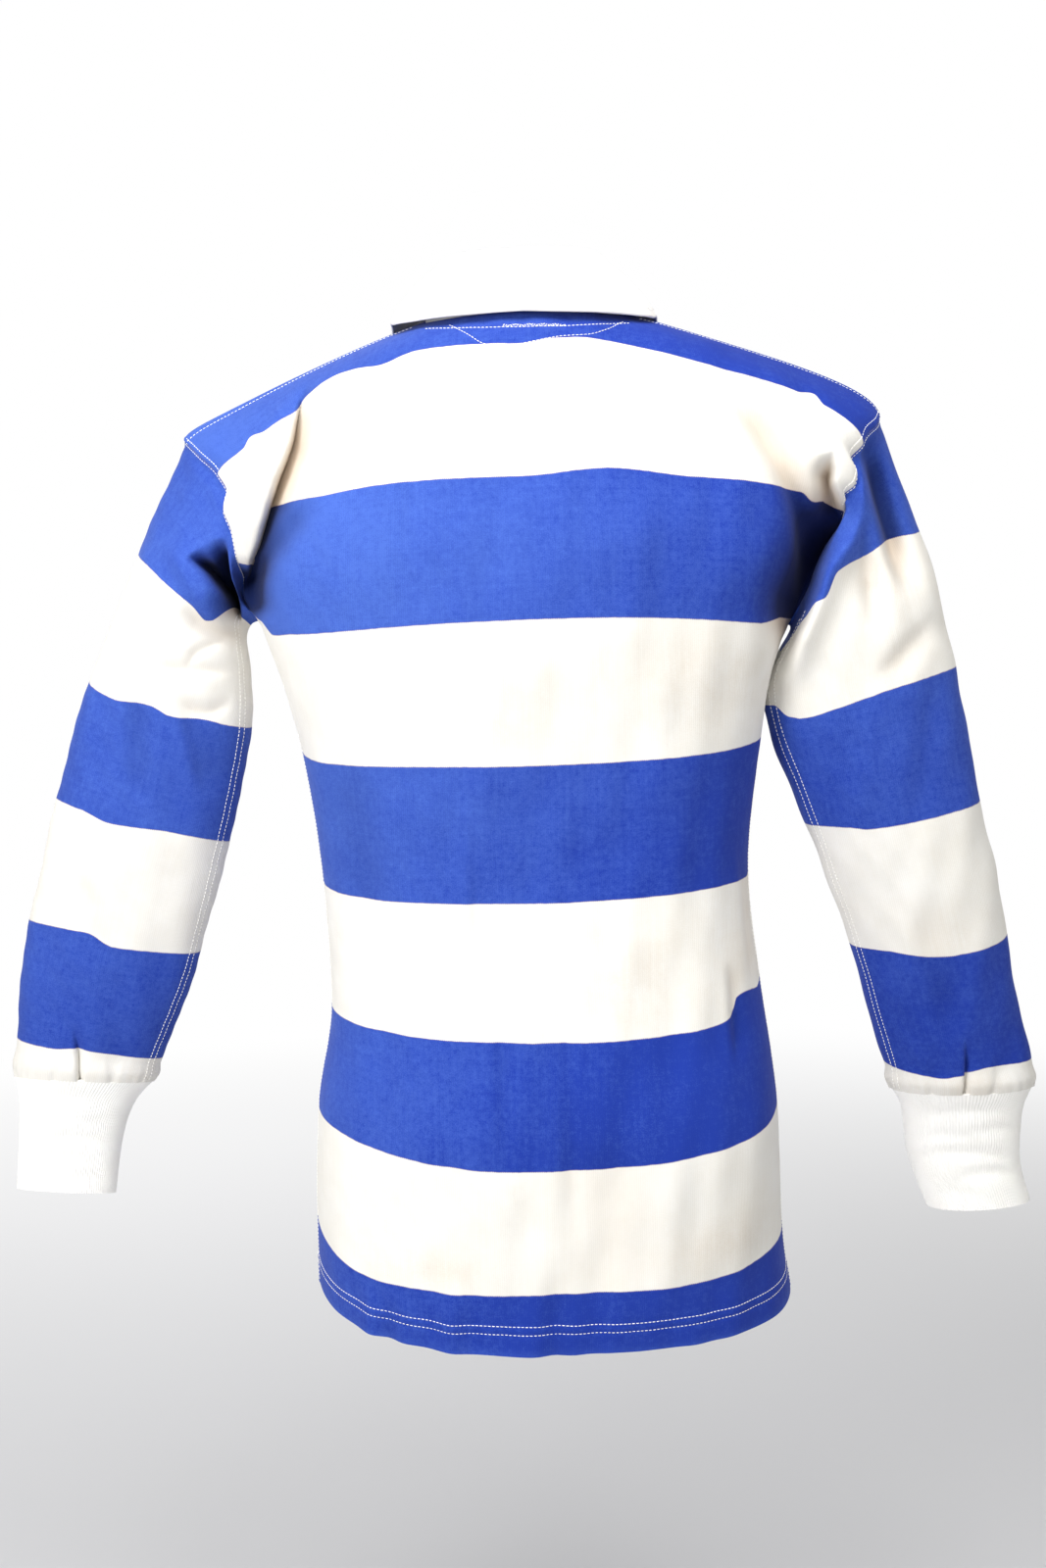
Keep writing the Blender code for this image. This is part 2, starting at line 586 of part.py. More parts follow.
# -------------------------------------------------------------- the small pieces
def cuff(name, sign, cloth):
    """A tube of rib knit: ribs stand on its outside, and its inside is plain."""
    form = LEFT_CUFF if sign > 0 else RIGHT_CUFF
    ring = 2 * ARMHOLE_ROWS
    points = ring * RIB_POINTS
    t = np.array([0.0, *np.linspace(CUFF_SHOULDER, form["t"][-1], CUFF_ROWS)])
    axis = cuff_seam_axis(sign)

    def skin_of(count):
        """A ring of points for each row, and their outward normals."""
        row, turn = np.meshgrid(t, np.arange(count) / count, indexing="ij")
        point = section(form, sign, row, turn)
        facing = normals(point, True)
        away = point - point.mean(axis=1, keepdims=True)
        facing = facing * np.sign((facing * away).sum(-1, keepdims=True))
        facing[0] = flat_rim(facing[0], axis)
        point[0] += axis * SEAM_GAP
        return point, facing

    inner, facing = skin_of(ring)
    inner = inner - facing * CUFF_WALL
    outer, facing = skin_of(points)
    outer = outer - facing * RIB_HEIGHT * (np.arange(points) % 2 == 0)[None, :, None]
    faces = []
    skin = points * len(t)
    for r in range(len(t) - 1):
        for c in range(points):
            d = (c + 1) % points
            faces.append((r * points + c, r * points + d, (r + 1) * points + d, (r + 1) * points + c))
        for c in range(ring):
            d = (c + 1) % ring
            low, high = skin + r * ring, skin + (r + 1) * ring
            faces.append((high + c, high + d, low + d, low + c))
    for r, flip in ((0, False), (len(t) - 1, True)):
        for c in range(ring):
            near, far = skin + r * ring + c, skin + r * ring + (c + 1) % ring
            rim = [r * points + (c * RIB_POINTS + k) % points for k in range(RIB_POINTS + 1)]
            middle_point = RIB_POINTS // 2
            fans = [(rim[k], near if k < middle_point else far, rim[k + 1]) for k in range(RIB_POINTS)]
            fans.append((rim[middle_point], near, far))
            for face in fans:
                faces.append(face[::-1] if flip else face)
    vertices = np.concatenate([outer.reshape(-1, 3), inner.reshape(-1, 3)])
    return add_object(name, vertices, faces, cloth)


def neck_seam(way):
    """A point of the neckline as the panels' own mesh has it."""
    step = abs(way) * 2 * NECK_COLUMNS
    low = min(int(step), 2 * NECK_COLUMNS - 1)
    ends = []
    for place in (low, low + 1):
        turn = place / NECK_COLUMNS
        side = "back" if low < NECK_COLUMNS else "front"
        u, s = neck_edge(side, np.array([min(turn, 2.0 - turn)]))
        ends.append(panel(side, math.copysign(1.0, way) * u, s)[0])
    return ends[0] + (ends[1] - ends[0]) * (step - low)


def collar(cloth):
    """One band that stands up from the neckline, folds over and falls outside."""
    up = np.array([0.0, 0.0, 1.0])
    columns = []
    for way in np.clip(np.linspace(-1.0, 1.0, COLLAR_COLUMNS + 1), -COLLAR_OPENING, COLLAR_OPENING):
        size, sign = abs(way), math.copysign(1.0, way)
        away = np.array([math.sin(math.pi * way), math.cos(math.pi * way), 0.0])
        depth = FOLD_BACK if size <= 0.5 else FOLD_FRONT
        top = away * np.array([FOLD_HALF_WIDTH, depth, 0.0])
        top[2] = along(FOLD_LINE["way"], FOLD_LINE["z"], size)
        edge = np.array([along(LEAF_EDGE["way"], LEAF_EDGE[name], size) for name in "xyz"])
        edge[0] *= sign
        foot = neck_seam(way) - away * (COLLAR_WALL / 2.0 + WALL) - LAY_GAP * up
        inside = top - FOLD_RADIUS * away - 1.3 * FOLD_RADIUS * up
        outside = top + FOLD_RADIUS * away - 1.3 * FOLD_RADIUS * up
        leaf = [outside + (edge - outside) * share + away * LEAF_BULGE * math.sin(math.pi * share)
                for share in (0.25, 0.5, 0.75)]
        columns.append([foot, (foot + inside) / 2.0, inside, top, outside, *leaf, edge])
    grid = np.array(columns).transpose(1, 0, 2)
    half = normals(grid, False) * COLLAR_WALL / 2.0
    return wall("collar", grid + half, grid - half, False, cloth)


def front_frame(x, s):
    """A point of the front near its centre line, and the way out of the cloth there."""
    reach = along(BACK_LEFT["s"], BACK_LEFT["x3"], s)
    u = np.arcsin(x / reach) * 2.0 / np.pi
    step = 1e-3
    point = panel("front", u, s)
    out = np.cross(panel("front", u + step, s) - point, panel("front", u, s + step) - point)
    out = out / np.linalg.norm(out, axis=-1, keepdims=True)
    return point, out * np.where(out[..., 1:2] > 0.0, -1.0, 1.0)


def placket(cloth):
    """The strip that carries the buttons, laid on the front."""
    x = np.linspace(-PLACKET_WIDTH / 2.0, PLACKET_WIDTH / 2.0, PLACKET_COLUMNS + 1)
    s, x = np.meshgrid(np.linspace(PLACKET_START, PLACKET_END, PLACKET_ROWS + 1), x, indexing="ij")
    point, out = front_frame(x, s)
    return wall("placket", point + out * (LAY_GAP + PLACKET_WALL), point + out * LAY_GAP, False, cloth)


def button(number, place, rubber):
    """A plain round button that stands on the placket."""
    point, out = front_frame(np.array([0.0]), np.array([place]))
    point, out = Vector(point[0]), Vector(out[0])
    profile = [(BUTTON_FACE, 0.0), (BUTTON_RADIUS, 0.25 * BUTTON_THICK),
               (BUTTON_RADIUS, 0.75 * BUTTON_THICK), (BUTTON_FACE, BUTTON_THICK)]
    turns = [2.0 * math.pi * i / BUTTON_SIDES for i in range(BUTTON_SIDES)]
    vertices = [(r * math.cos(turn), r * math.sin(turn), h) for r, h in profile for turn in turns]
    faces = []
    for low in range(0, (len(profile) - 1) * BUTTON_SIDES, BUTTON_SIDES):
        for i in range(BUTTON_SIDES):
            j = (i + 1) % BUTTON_SIDES
            faces.append((low + i, low + j, low + j + BUTTON_SIDES, low + i + BUTTON_SIDES))
    faces.append(tuple(range(BUTTON_SIDES))[::-1])
    faces.append(tuple(range((len(profile) - 1) * BUTTON_SIDES, len(profile) * BUTTON_SIDES)))
    made = add_object("button_%d" % number, vertices, faces, rubber)
    made.rotation_euler = out.to_track_quat("Z", "Y").to_euler()
    made.location = point + out * (LAY_GAP + PLACKET_WALL + SEAM_GAP)
    return made


# --------------------------------------------------------------------- the shirt
def build():
    for thing in list(bpy.data.objects):
        bpy.data.objects.remove(thing)
    jersey = material("jersey_blue", (0.045, 0.105, 0.52), 0.9)
    white = material("twill_white", (0.86, 0.84, 0.79), 0.85)
    rib = material("rib_white", (0.88, 0.87, 0.83), 0.9)
    rubber = material("button_rubber", (0.80, 0.78, 0.72), 0.45)

    names = ("back", "front", "sleeve_left", "sleeve_right")
    grids = [panel_grid("back"), panel_grid("front"), sleeve_grid(1.0), sleeve_grid(-1.0)]
    closed = (False, False, True, True)
    fields = []
    for name, grid, tube in zip(names, grids, closed):
        facing = normals(grid, tube)
        if tube:
            away = grid - grid.mean(axis=1, keepdims=True)
        else:
            away = np.zeros_like(grid)
            away[..., 1] = 1.0 if name == "back" else -1.0
        if (facing * away).sum() < 0.0:
            facing = -facing
        fields.append(facing)
    moves = join_seams(grids, closed, fields)
    for sign, facing in ((1.0, fields[2]), (-1.0, fields[3])):
        facing[-1] = flat_rim(facing[-1], cuff_seam_axis(sign))
    for name, grid, facing, move, tube in zip(names, grids, fields, moves, closed):
        wall(name, grid + move, grid - facing * WALL + move, tube, jersey)

    cuff("cuff_left", 1.0, rib)
    cuff("cuff_right", -1.0, rib)
    collar(white)
    placket(white)
    for number, place in enumerate(BUTTON_PLACES, 1):
        button(number, place, rubber)


build()
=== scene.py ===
"""Looks of the hooped rugby shirt: fine cloth, stitching, materials, light and camera.

Metres, +Z up, the front faces -Y and the wearer's left is +X. Each cloth piece is a
fine closed shell on the form of the solid that it replaces, with its creases, seams
and unevenness added. The forms' tables are the solids' own, with lengths in mm.
"""
import math

import bpy
import numpy as np
from mathutils import Matrix, Vector


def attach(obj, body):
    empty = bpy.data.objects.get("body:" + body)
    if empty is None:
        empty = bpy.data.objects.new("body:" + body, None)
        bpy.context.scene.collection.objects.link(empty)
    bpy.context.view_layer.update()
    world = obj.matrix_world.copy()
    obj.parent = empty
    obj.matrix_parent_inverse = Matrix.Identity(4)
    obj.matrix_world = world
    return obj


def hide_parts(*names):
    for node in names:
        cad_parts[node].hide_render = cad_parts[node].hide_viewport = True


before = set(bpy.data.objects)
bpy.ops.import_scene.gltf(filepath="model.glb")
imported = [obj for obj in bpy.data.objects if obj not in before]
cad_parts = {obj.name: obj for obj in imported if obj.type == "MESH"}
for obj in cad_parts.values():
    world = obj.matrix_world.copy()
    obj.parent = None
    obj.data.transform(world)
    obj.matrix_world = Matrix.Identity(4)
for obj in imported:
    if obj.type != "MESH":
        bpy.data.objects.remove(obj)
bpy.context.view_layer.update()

LEFT, RIGHT = 1.0, -1.0  # the wearer's sides, as the signs of X there
SIDES = {LEFT: "left", RIGHT: "right"}
FACING = {"back": 1.0, "front": -1.0}    # the signs of Y that way
TURN = 2.0 * math.pi

# ---- sizes that the solids have
WALL = 0.0018            # jersey of the body and sleeves
COLLAR_WALL = 0.0022
CUFF_WALL = 0.0024
PLACKET_WALL = 0.0016
LAY_GAP = 0.0005         # between a panel and what lies on it
ARMHOLE_LENGTH = 0.266
BODY_LENGTH = 0.814
NECK_POINT = 0.19        # share of the half width where the shoulder seam starts
BACK_NECK_DROP = 0.031
FRONT_NECK_DROP = 0.095
SEAM_BEHIND_RIDGE = 0.018
RIDGE_RISE = 0.0035
TIP_DEPTH = 0.006
ARMHOLE_DEPTH = {"back": 0.058, "front": -0.054}
MEAN_DEPTH = 0.11        # of the body, for the way that its cloth faces
FOLD_START = 0.04        # no fold of a panel starts nearer to the shoulder line
SEAM_CALM = 0.75         # share of the armhole below which the folds die at the side
SLEEVE_LENGTH = 0.533
CUFF_CALM = 0.03         # the sleeve's folds die out over this length above the cuff
CUFF_LENGTH = 0.085
ARMHOLE_FADE = 0.14      # length of sleeve that turns from the armhole's form to its own
PLACKET_WIDTH = 0.032
PLACKET_START = 0.099
PLACKET_END = 0.262
BUTTON_PLACES = (0.128, 0.176, 0.224)
TOP_CROWDING = 3         # how soon the rows below the neckline run level

# ---- sizes of the finer cloth
FULL_SHADE_DEPTH = 0.025     # depth of a crease at whose bottom the painted shade is full
WEAR_REACH = 0.004       # of the worn cloth beside an edge or seam
PANEL_PAINTED_LIGHT = (0.42, 2.25, 1.1, -0.34)    # painted light on the blue: a share, its rise along X and Z, and the level
SLEEVE_PAINTED_LIGHT = (0.45, 0.3, 1.0, -0.34)
YOKE_DARKER, YOKE_LEVEL = 3.2, -0.17     # rise of the blue's depth above a level, where the painted paleness falls away
BEND_REACH = 0.007       # length over which the bends between the tables' rows are eased
SIDEWAYS = 0.35          # share of sideways in the way that a crease faces
DENT_FADE = 0.016        # length over which a sleeve rises out of a dent in the armhole
CREASE_PAST = 0.15       # share of a crease's length that it runs on past its points
CREASE_TAPER = 0.45      # and over which it rises to its full depth
LIP_PLACE, LIP_WIDTH = 1.3, 1.5    # of a crease's lip, as shares of its steep side
CREASE_START = 0.007     # no sleeve crease reaches nearer to the armhole
ARMHOLE_SPAN = 0.12      # length of cloth that a whole step of u is at the armhole
SIDE_SPAN = 0.20         # and down the side
SLEEVE_SPAN = 0.30       # and for a whole turn of a sleeve
DRIFT_REACH = 0.022      # how far into the back the armhole's wandering reaches
LEAN_START = 0.008       # no lip of a crease leans nearer to the armhole
SEAM_GROOVE = 0.0006
SEAM_RISE = 0.0005
SEAM_SOFT = 0.0015
FELL_WIDTH = 0.0080      # of the folded allowance beside the armhole and side seams
HEM_ROWS = (0.0165, 0.0230)
CUFF_TILT = {LEFT: 0.007, RIGHT: 0.001}    # how far a cuff's back is pulled up
TILT_REACH = 0.12        # and the length of sleeve that follows it
BLOUSE = 0.0030          # how far the sleeve's end swells over the cuff
BLOUSE_REACH = 0.009     # and how far above the cuff it does so most
GATHER = 0.0004          # height of the small pleats there, and how far they reach up
GATHER_REACH = 0.009
GATHER_COUNTS = (23.0, 37.0)
CUFF_RIBS = 120
RIB_POINTS = 6           # across each rib of the outer skin
RIB_RELIEF = 0.0006      # of the finer ribs
RIB_ROUNDNESS = 0.6      # the lower, the flatter their tops and the narrower their grooves
WRINKLE_SHIFT = 0.02     # turn by which the two cuffs' wrinkles lie apart from the table
WRINKLE_BOW = 0.004      # how far down a wrinkle's ends lie
HOOP_DEPTH = 0.1016
WALE = 0.0016            # width of one column of the knit
COURSE = 0.0012          # height of one row of it
TWILL_LINE = 0.0011
TOOTH = 0.003            # share of a hoop by which its edge is jagged
ROW_INSETS = (0.0016, 0.0075)    # of the two rows of stitches beside a seam
ROW_POINTS = 900
ROW_START, ROW_STOP = 0.004, 0.002    # how far from a seam and from an edge a row ends
SHOULDER_ROW = 0.0085    # below the shoulder line
UNDERARM_TURN = 0.045    # how far the rows of the underarm seam turn to the back
UNDERARM_ROW_START = 0.05
SECOND_ROW_END = {LEFT: 0.10, RIGHT: 0.16}    # below it the fold hides the back's row
PLACKET_INSET = 0.0022   # of its row of stitches
STITCH_PITCH = 0.0031
STITCH_LENGTH = 0.0025
STITCH_RADIUS = 0.00031
STITCH_SIDES = 6
# places along a stitch, as shares of its length, and its size there
STITCH_RINGS = ((-0.5, 0.0), (-0.36, 0.85), (0.0, 1.0), (0.36, 0.85), (0.5, 0.0))
SHARP_EDGE = math.radians(65)
EDGE_SHARE = 0.15        # of its thickness that a rounded sheet has at its very edge
NUDGE = 1e-3             # between points that tell which way the cloth faces


# columns that are shares, turns or angles; the others are lengths in mm
SHARES = {"way", "at", "turn", "reach", "start", "strength"}


def table(names, rows):
    """Named columns from the rows of a short table; a row may leave off noughts at its end."""
    names = names.split()
    full = [row + (0,) * (len(names) - len(row)) for row in rows]
    return {name: column if name in SHARES else column / 1000.0
            for name, column in zip(names, np.array(full, float).T)}


def hoop_lines(lines):
    """For some of the hoops' ends, how far they lie below their usual length, by place."""
    return {number: table("at shift", rows) for number, rows in lines.items()}


# ---- how fine the skins are
# Each stop is a place and the step between two rows or columns there.
NECK_STOPS = {"back": 21, "front": 15}
PANEL_ACROSS = {
    "back": ((NECK_POINT, 0.010), (0.45, 0.010), (0.55, 0.006), (1.0, 0.006)),
    "front": ((NECK_POINT, 0.014), (0.55, 0.012), (1.0, 0.009)),
}
PANEL_DOWN = {
    "back": ((0.0, 0.0016), (0.02, 0.0018), (0.27, 0.0018), (0.32, 0.0050), (0.77, 0.0050),
             (0.785, 0.0016), (BODY_LENGTH, 0.0014)),
    "front": ((0.0, 0.0020), (0.02, 0.0034), (0.27, 0.0034), (0.34, 0.0060), (0.77, 0.0060),
              (0.785, 0.0020), (BODY_LENGTH, 0.0018)),
}
SLEEVE_DOWN = ((0.0, 0.0012), (0.02, 0.0016), (0.15, 0.0018), (0.22, 0.0042), (0.49, 0.0042),
               (0.51, 0.0020), (SLEEVE_LENGTH, 0.0016))
SLEEVE_ROUND = ((-0.5, 0.0066), (-0.02, 0.0066), (0.08, 0.0030), (0.5, 0.0030))
CUFF_DOWN = ((0.0, 0.0018), (0.02, 0.0026), (CUFF_LENGTH, 0.0032))
COLLAR_UP = ((0.0, 0.030), (0.36, 0.014), (0.56, 0.010), (0.92, 0.018), (1.0, 0.006))

# ---- the body's forms
# s is the cloth's length below the shoulder line. The columns 1, 2 and 3 lie at one
# third, two thirds and the whole of the way round from the centre to the side.
BACK_CENTRE = table("s y z", [
    (0, 18, 10),
    (31, 60, -4),
    (62, 85, -31),
    (112, 106, -80),
    (163, 118, -130),
    (215, 126, -181),
    (266, 125, -232.6),
    (372, 108, -339),
    (475, 98, -441.7),
    (577, 108, -543.5),
    (673, 125, -637.3),
    (765, 123, -729.3),
    (814, 118, -777.7),
])
BACK_LEFT = table("s x3 y1 y2 z1 z2 z3", [
    (0, 266, 12, 10, -22.5, -65, -86.5),
    (31, 250, 42, 36, -30, -77, -102),
    (62, 235, 70, 60, -45, -91, -117),
    (112, 226.5, 94, 77, -88, -120, -147),
    (163, 222, 111, 86, -133, -151, -178),
    (215, 220, 119, 89, -185, -194, -206),
    (266, 211, 116, 79, -237, -240, -224),
    (372, 183, 100, 65, -338, -336, -329),
    (475, 170, 90, 57, -440, -437, -432),
    (577, 166, 99, 62, -540, -534, -527),
    (673, 179.5, 115, 73, -632, -622, -613),
    (765, 184.5, 113, 72, -726, -718, -708),
    (814, 185, 108, 70, -773, -764, -758),
])
BACK_RIGHT = table("s x3 y1 y2 z1 z2 z3", [
    (0, 273.5, 12, 10, -17.5, -53, -82),
    (31, 262, 42, 38, -26, -61, -92),
    (62, 249, 69, 64, -43, -72, -103),
    (112, 243, 94, 81, -88, -107, -130),
    (163, 233, 111, 88, -133, -143, -156),
    (215, 222, 119, 88, -184, -190, -202),
    (266, 200.5, 116, 78, -233.5, -239, -240),
    (372, 178.5, 100, 64, -337, -332, -324),
    (475, 166.5, 90, 56, -440, -437, -432),
    (577, 175, 99, 64, -544, -538, -526),
    (673, 186.5, 115, 76, -637, -632, -625),
    (765, 189, 113, 74, -730, -728, -725),
    (814, 194.5, 108, 73, -778, -775, -770),
])
FRONT_CENTRE = table("s y z", [
    (62, -45, -22),
    (112, -80, -68),
    (163, -100, -117),
    (215, -114, -169),
    (266, -121, -221),
    (372, -124, -327),
    (475, -120, -430),
    (577, -119, -532),
    (673, -121, -628),
    (765, -119, -720),
    (814, -117, -769),
])
FRONT_SIDE = table("s y1 y2 z1 z2", [
    (62, -43, -36, -36, -77),
    (112, -75, -61, -78, -112),
    (163, -94, -74, -125, -149),
    (215, -107, -80, -175, -191),
    (266, -112, -77, -225, -231),
    (372, -113, -70, -328, -328),
    (475, -107, -64, -431, -431),
    (577, -107, -65, -532, -530),
    (673, -111, -71, -627, -622),
    (765, -110, -71, -718, -716),
    (814, -108, -70, -767, -765),
])

# ---- the sleeves' forms
LEFT_SLEEVE = table("t x_out z_out x_in z_in y depth", [
    (0, 266, -88, 211, -224, 3, 58),
    (50, 283.7, -127, 215.5, -232, 3, 58),
    (102, 305.5, -171, 219.5, -248, 2, 56),
    (150, 326.9, -219, 221, -276, 1, 53),
    (203, 349.3, -268.4, 223.8, -310.4, -2, 50),
    (305, 382.4, -363.4, 246.5, -400.9, -15, 47),
    (406, 414.9, -465.6, 275.2, -493.6, -35, 44),
    (457, 426.1, -516.1, 296.2, -542.6, -46, 43),
    (508, 434.6, -569.6, 318.4, -588.5, -58, 41),
    (533, 441.1, -600.1, 327, -608.2, -64, 39),
])
RIGHT_SLEEVE = table("t x_out z_out x_in z_in y depth", [
    (0, 273.5, -83, 200.5, -240, 3, 58),
    (50, 290.4, -132.1, 202.5, -251, 3, 58),
    (102, 303.1, -171.2, 200, -266, 2, 56),
    (150, 318.1, -222.7, 194.5, -287, 1, 53),
    (203, 332.9, -276.9, 193.5, -311, -2, 50),
    (305, 355.1, -385.2, 216.7, -401.3, -15, 47),
    (406, 381.5, -496.4, 252.3, -501.1, -35, 44),
    (457, 394, -552.7, 269.2, -551, -46, 43),
    (508, 406.3, -606, 285.8, -606.3, -58, 41),
    (533, 411.3, -628.7, 291.8, -629.7, -64, 39),
])
LEFT_CUFF = table("t x_out z_out x_in z_in y depth", [
    (0, 441.1, -600.1, 327, -608.2, -64, 39),
    (14, 440, -617, 342, -622, -67, 34),
    (50, 445, -660, 359, -664, -77, 30),
    (85, 451, -703, 367.5, -709.5, -84, 28),
])
RIGHT_CUFF = table("t x_out z_out x_in z_in y depth", [
    (0, 411.3, -628.7, 291.8, -629.7, -64, 39),
    (14, 403, -647, 301, -642, -67, 34),
    (50, 403, -692, 307, -686, -77, 30),
    (85, 414.3, -734.5, 326, -738.5, -84, 28),
])

# ---- the collar
LEAF_EDGE = table("way x y z", [
    (0, 0, 74.5, -6.8),
    (0.17, 48, 66.5, -7.4),
    (0.3, 80, 48.5, -7.4),
    (0.42, 97.5, 30, -6.6),
    (0.52, 103, 4, -2.2),
    (0.64, 104, -27.5, -13),
    (0.78, 98, -60.5, -40),
    (0.9, 80, -84.5, -70),
    (1, 60, -96, -92),
])
FOLD_LINE = table("way z", [
    (0, 40.5), (0.5, 43), (0.7, 29), (0.85, 5), (1, -19),
])
FOLD_HALF_WIDTH = 0.0625
FOLD_BACK = 0.0590
FOLD_FRONT = 0.0640
FOLD_RADIUS = 0.0034
COLLAR_OPENING = 0.985
LEAF_BULGE, LEAF_WAVE = 0.005, 0.0006
# shares of the way from the neck seam up, over the fold and down to the leaf's edge
COLLAR_STATIONS = (0.0, 0.20, 0.40, 0.46, 0.52, 0.64, 0.76, 0.88, 1.0)

# ---- the creases
# Each runs between two points seen from behind or in front. It is steep on one side and
# soft on the other; a depth below nought is a ridge. It may bow by a length at its
# middle, and its lip may lean over it.
CREASE = "x0 z0 x1 z1 steep soft depth bow lean"
BACK_CREASES = table(CREASE, [
    (170, -65, 224, -203, 3.2, 21, 34, 0, 11),
    (213.5, -182, 210.5, -226, 9, 14, 32),
    (160, -146, 206, -194, 8, 10, 6),
    (190, -95, 218, -170, 12, 12, -6),
    (-143, -66, -212, -232, 9, 14, 15, 18),
    (-230, -160, -223.5, -120, 2.2, 12, 23, 0, 2),
    (-193, -252, -238, -154, 11, 26, 47),
    (-157, -415, -165, -520, 4, 12, 5, 0, 1),
    (-144, -500, -147, -565, 4, 10, 6, 0, 1),
    (146, -330, 125, -480, 20, 22, 4),
    (-30, -600, -60, -740, 28, 30, 4),
    (136, -735, 138, -810, 7, 7, -4),
    (120, -745, 120, -810, 6, 6, 3),
    (74, -720, 72, -815, 10, 10, -3),
    (-4, -715, -2, -815, 8, 12, 3),
    (34, -450, 30, -640, 4, 7, 1.8),
    (-14, -430, -20, -700, 6, 5, 2),
    (52, -360, 56, -480, 6, 5, -1.6),
])
FRONT_CREASES = table(CREASE, [
    (140, -70, 204, -222, 4, 18, 20, 4, 6),
    (-204, -222, -140, -68, 18, 5, 17, 4),
    (120, -250, 80, -420, 20, 28, 5),
    (-105, -300, -60, -500, 26, 22, 5),
    (50, -560, 85, -740, 20, 26, 5),
    (-75, -540, -110, -700, 28, 22, 4),
    (20, -250, 46, -330, 9, 12, 3),
    (-18, -255, -40, -350, 12, 9, 3),
])
PANEL_CREASES = {"back": BACK_CREASES, "front": FRONT_CREASES}
SLEEVE_BACK_CREASES = table(CREASE, [
    (252.5, -181, 228, -217, 2.8, 9, 50, 0, 4),
    (227.5, -224, 230, -172, 2.8, 8, 50, 0, 2),
    (268, -168, 243, -226, 9, 10, -6),
    (262, -218, 222, -242, 8, 10, 8, -3),
    (292, -261, 235, -266, 4, 7, 4, 0, 1),
    (262, -258, 236, -243, 3.5, 6, 4, 2, 1),
    (270, -289, 236, -293, 3.5, 8, 4, -6, 1),
    (306, -280, 307, -360, 10, 12, 5),
    (266, -292, 256, -360, 6, 14, 5),
    (360, -420, 345, -490, 10, 14, 4),
    (-202, -282, -240, -176, 7.5, 10, -16, -6, 13),
    (-257, -106, -284, -210, 8, 13, 22),
    (-248, -150, -260, -240, 8, 10, 8),
    (-250, -118, -240, -205, 5, 7, -6, 3),
    (-310, -240, -262, -285, 9, 12, 5),
    (-300, -460, -330, -570, 12, 14, 4),
])
SLEEVE_FRONT_CREASES = table(CREASE, [
    (230, -150, 262, -215, 5, 12, 16),
    (-260, -225, -234, -150, 5, 12, 15),
    (262, -400, 350, -450, 6, 13, 8, -6),
    (275, -430, 372, -475, 6, 12, 6, -5),
    (-320, -465, -238, -410, 6, 13, 8, -6),
    (-345, -495, -252, -450, 6, 12, 5, -5),
])
# how far the armhole's seam strays outwards from its smooth line, on the back
SEAM_DRIFT = {
    LEFT: table("s outward", [
        (0, 0), (62, -1), (85, -3.8), (111, 2.2), (137, -0.4), (163, 0), (209, 2.2), (245, 4.2),
        (266, 0),
    ]),
    RIGHT: table("s outward", [
        (0, 0), (36, 4.2), (70, 3.8), (95, -5.6), (118, 2.4), (130, 2.8), (143, -2), (157, 4.5),
        (172, 7.5), (190, 5), (215, 1), (266, 0),
    ]),
}
# where the sides of the body and the undersides of the sleeves swell towards each
# other below the armhole: the length down, how far this reaches, and how much
SIDE_FILL = {LEFT: (0.305, 0.035, 0.0), RIGHT: (0.318, 0.050, -0.004)}
UNDERARM_FILL = {LEFT: (0.060, 0.075, -0.0075), RIGHT: (0.160, 0.085, 0.017)}
UNDERARM_START = 0.03    # length over which the swelling begins
CUFF_PLEATS = table(CREASE, [
    (378, -555, 383, -625, 2, 6, 7, 0, 3),
    (398, -575, 402, -625, 3, 6, 1.2),
    (352, -580, 356, -625, 3, 6, 1.5),
    (-343, -585, -342, -655, 2, 6, 7, 0, 3),
    (-372, -600, -366, -655, 4, 8, 2),
    (-316, -600, -322, -655, 4, 7, 2),
])
HEM_WAVES = ((0.034, 0.0022), (0.071, 0.0030), (0.113, 0.0018))
HEM_WAVE_REACH = 0.045
WAVE_START = {"back": (0.0, 0.0), "front": (2.0, 1.7)}    # of the soft waves and the hem's
# soft waves all over: pitch along X and Z, angle at the start, height
UNEVEN = table("pitch_x pitch_z start height", [
    (190, 310, 0.4, 1.2),
    (110, -430, 1.9, 0.9),
    (67, 260, 0.7, 0.6),
    (43, -350, 2.6, 0.4),
    (130, 62, 4, 0.3),
    (31, 190, 5.1, 0.4),
    (24, -29, 0.3, 0.2),
])
# wrinkles of a cuff: where along it and round it, how far they reach, width and depth
CUFF_WRINKLES = table("t turn reach width depth", [
    (14, 0.24, 0.12, 5, 3),
    (28, 0.18, 0.09, 4.6, 2.2),
    (34, 0.33, 0.07, 4, 1.8),
    (46, 0.27, 0.12, 3.6, 3.2),
    (60, 0.21, 0.1, 3.6, 3.2),
    (73, 0.33, 0.07, 4, 1.8),
    (28, -0.22, 0.12, 4, 2.8),
    (55, -0.3, 0.09, 3.5, 2.2),
])

# ---- stitching below the collar
# a row beside the seam, the edge of the half moon and a bar of zigzag, seen from behind
NECK_ROW_ENDS, NECK_ROW_LEVEL, NECK_ROW_BOW = (0.074, -0.080), -0.0185, 0.9
HALF_MOON = table("x z", [
    (56, -12.5), (42.7, -21.9), (29.3, -31.4), (14.9, -33.9), (-6.7, -30.2), (-29.2, -25.8),
    (-45, -25), (-60.2, -20.3), (-74.1, -11.8),
])
BAR_ENDS = (0.016, -0.030)
BAR_LEVEL, BAR_SWING, BAR_POINTS = -0.0170, 0.0006, 45

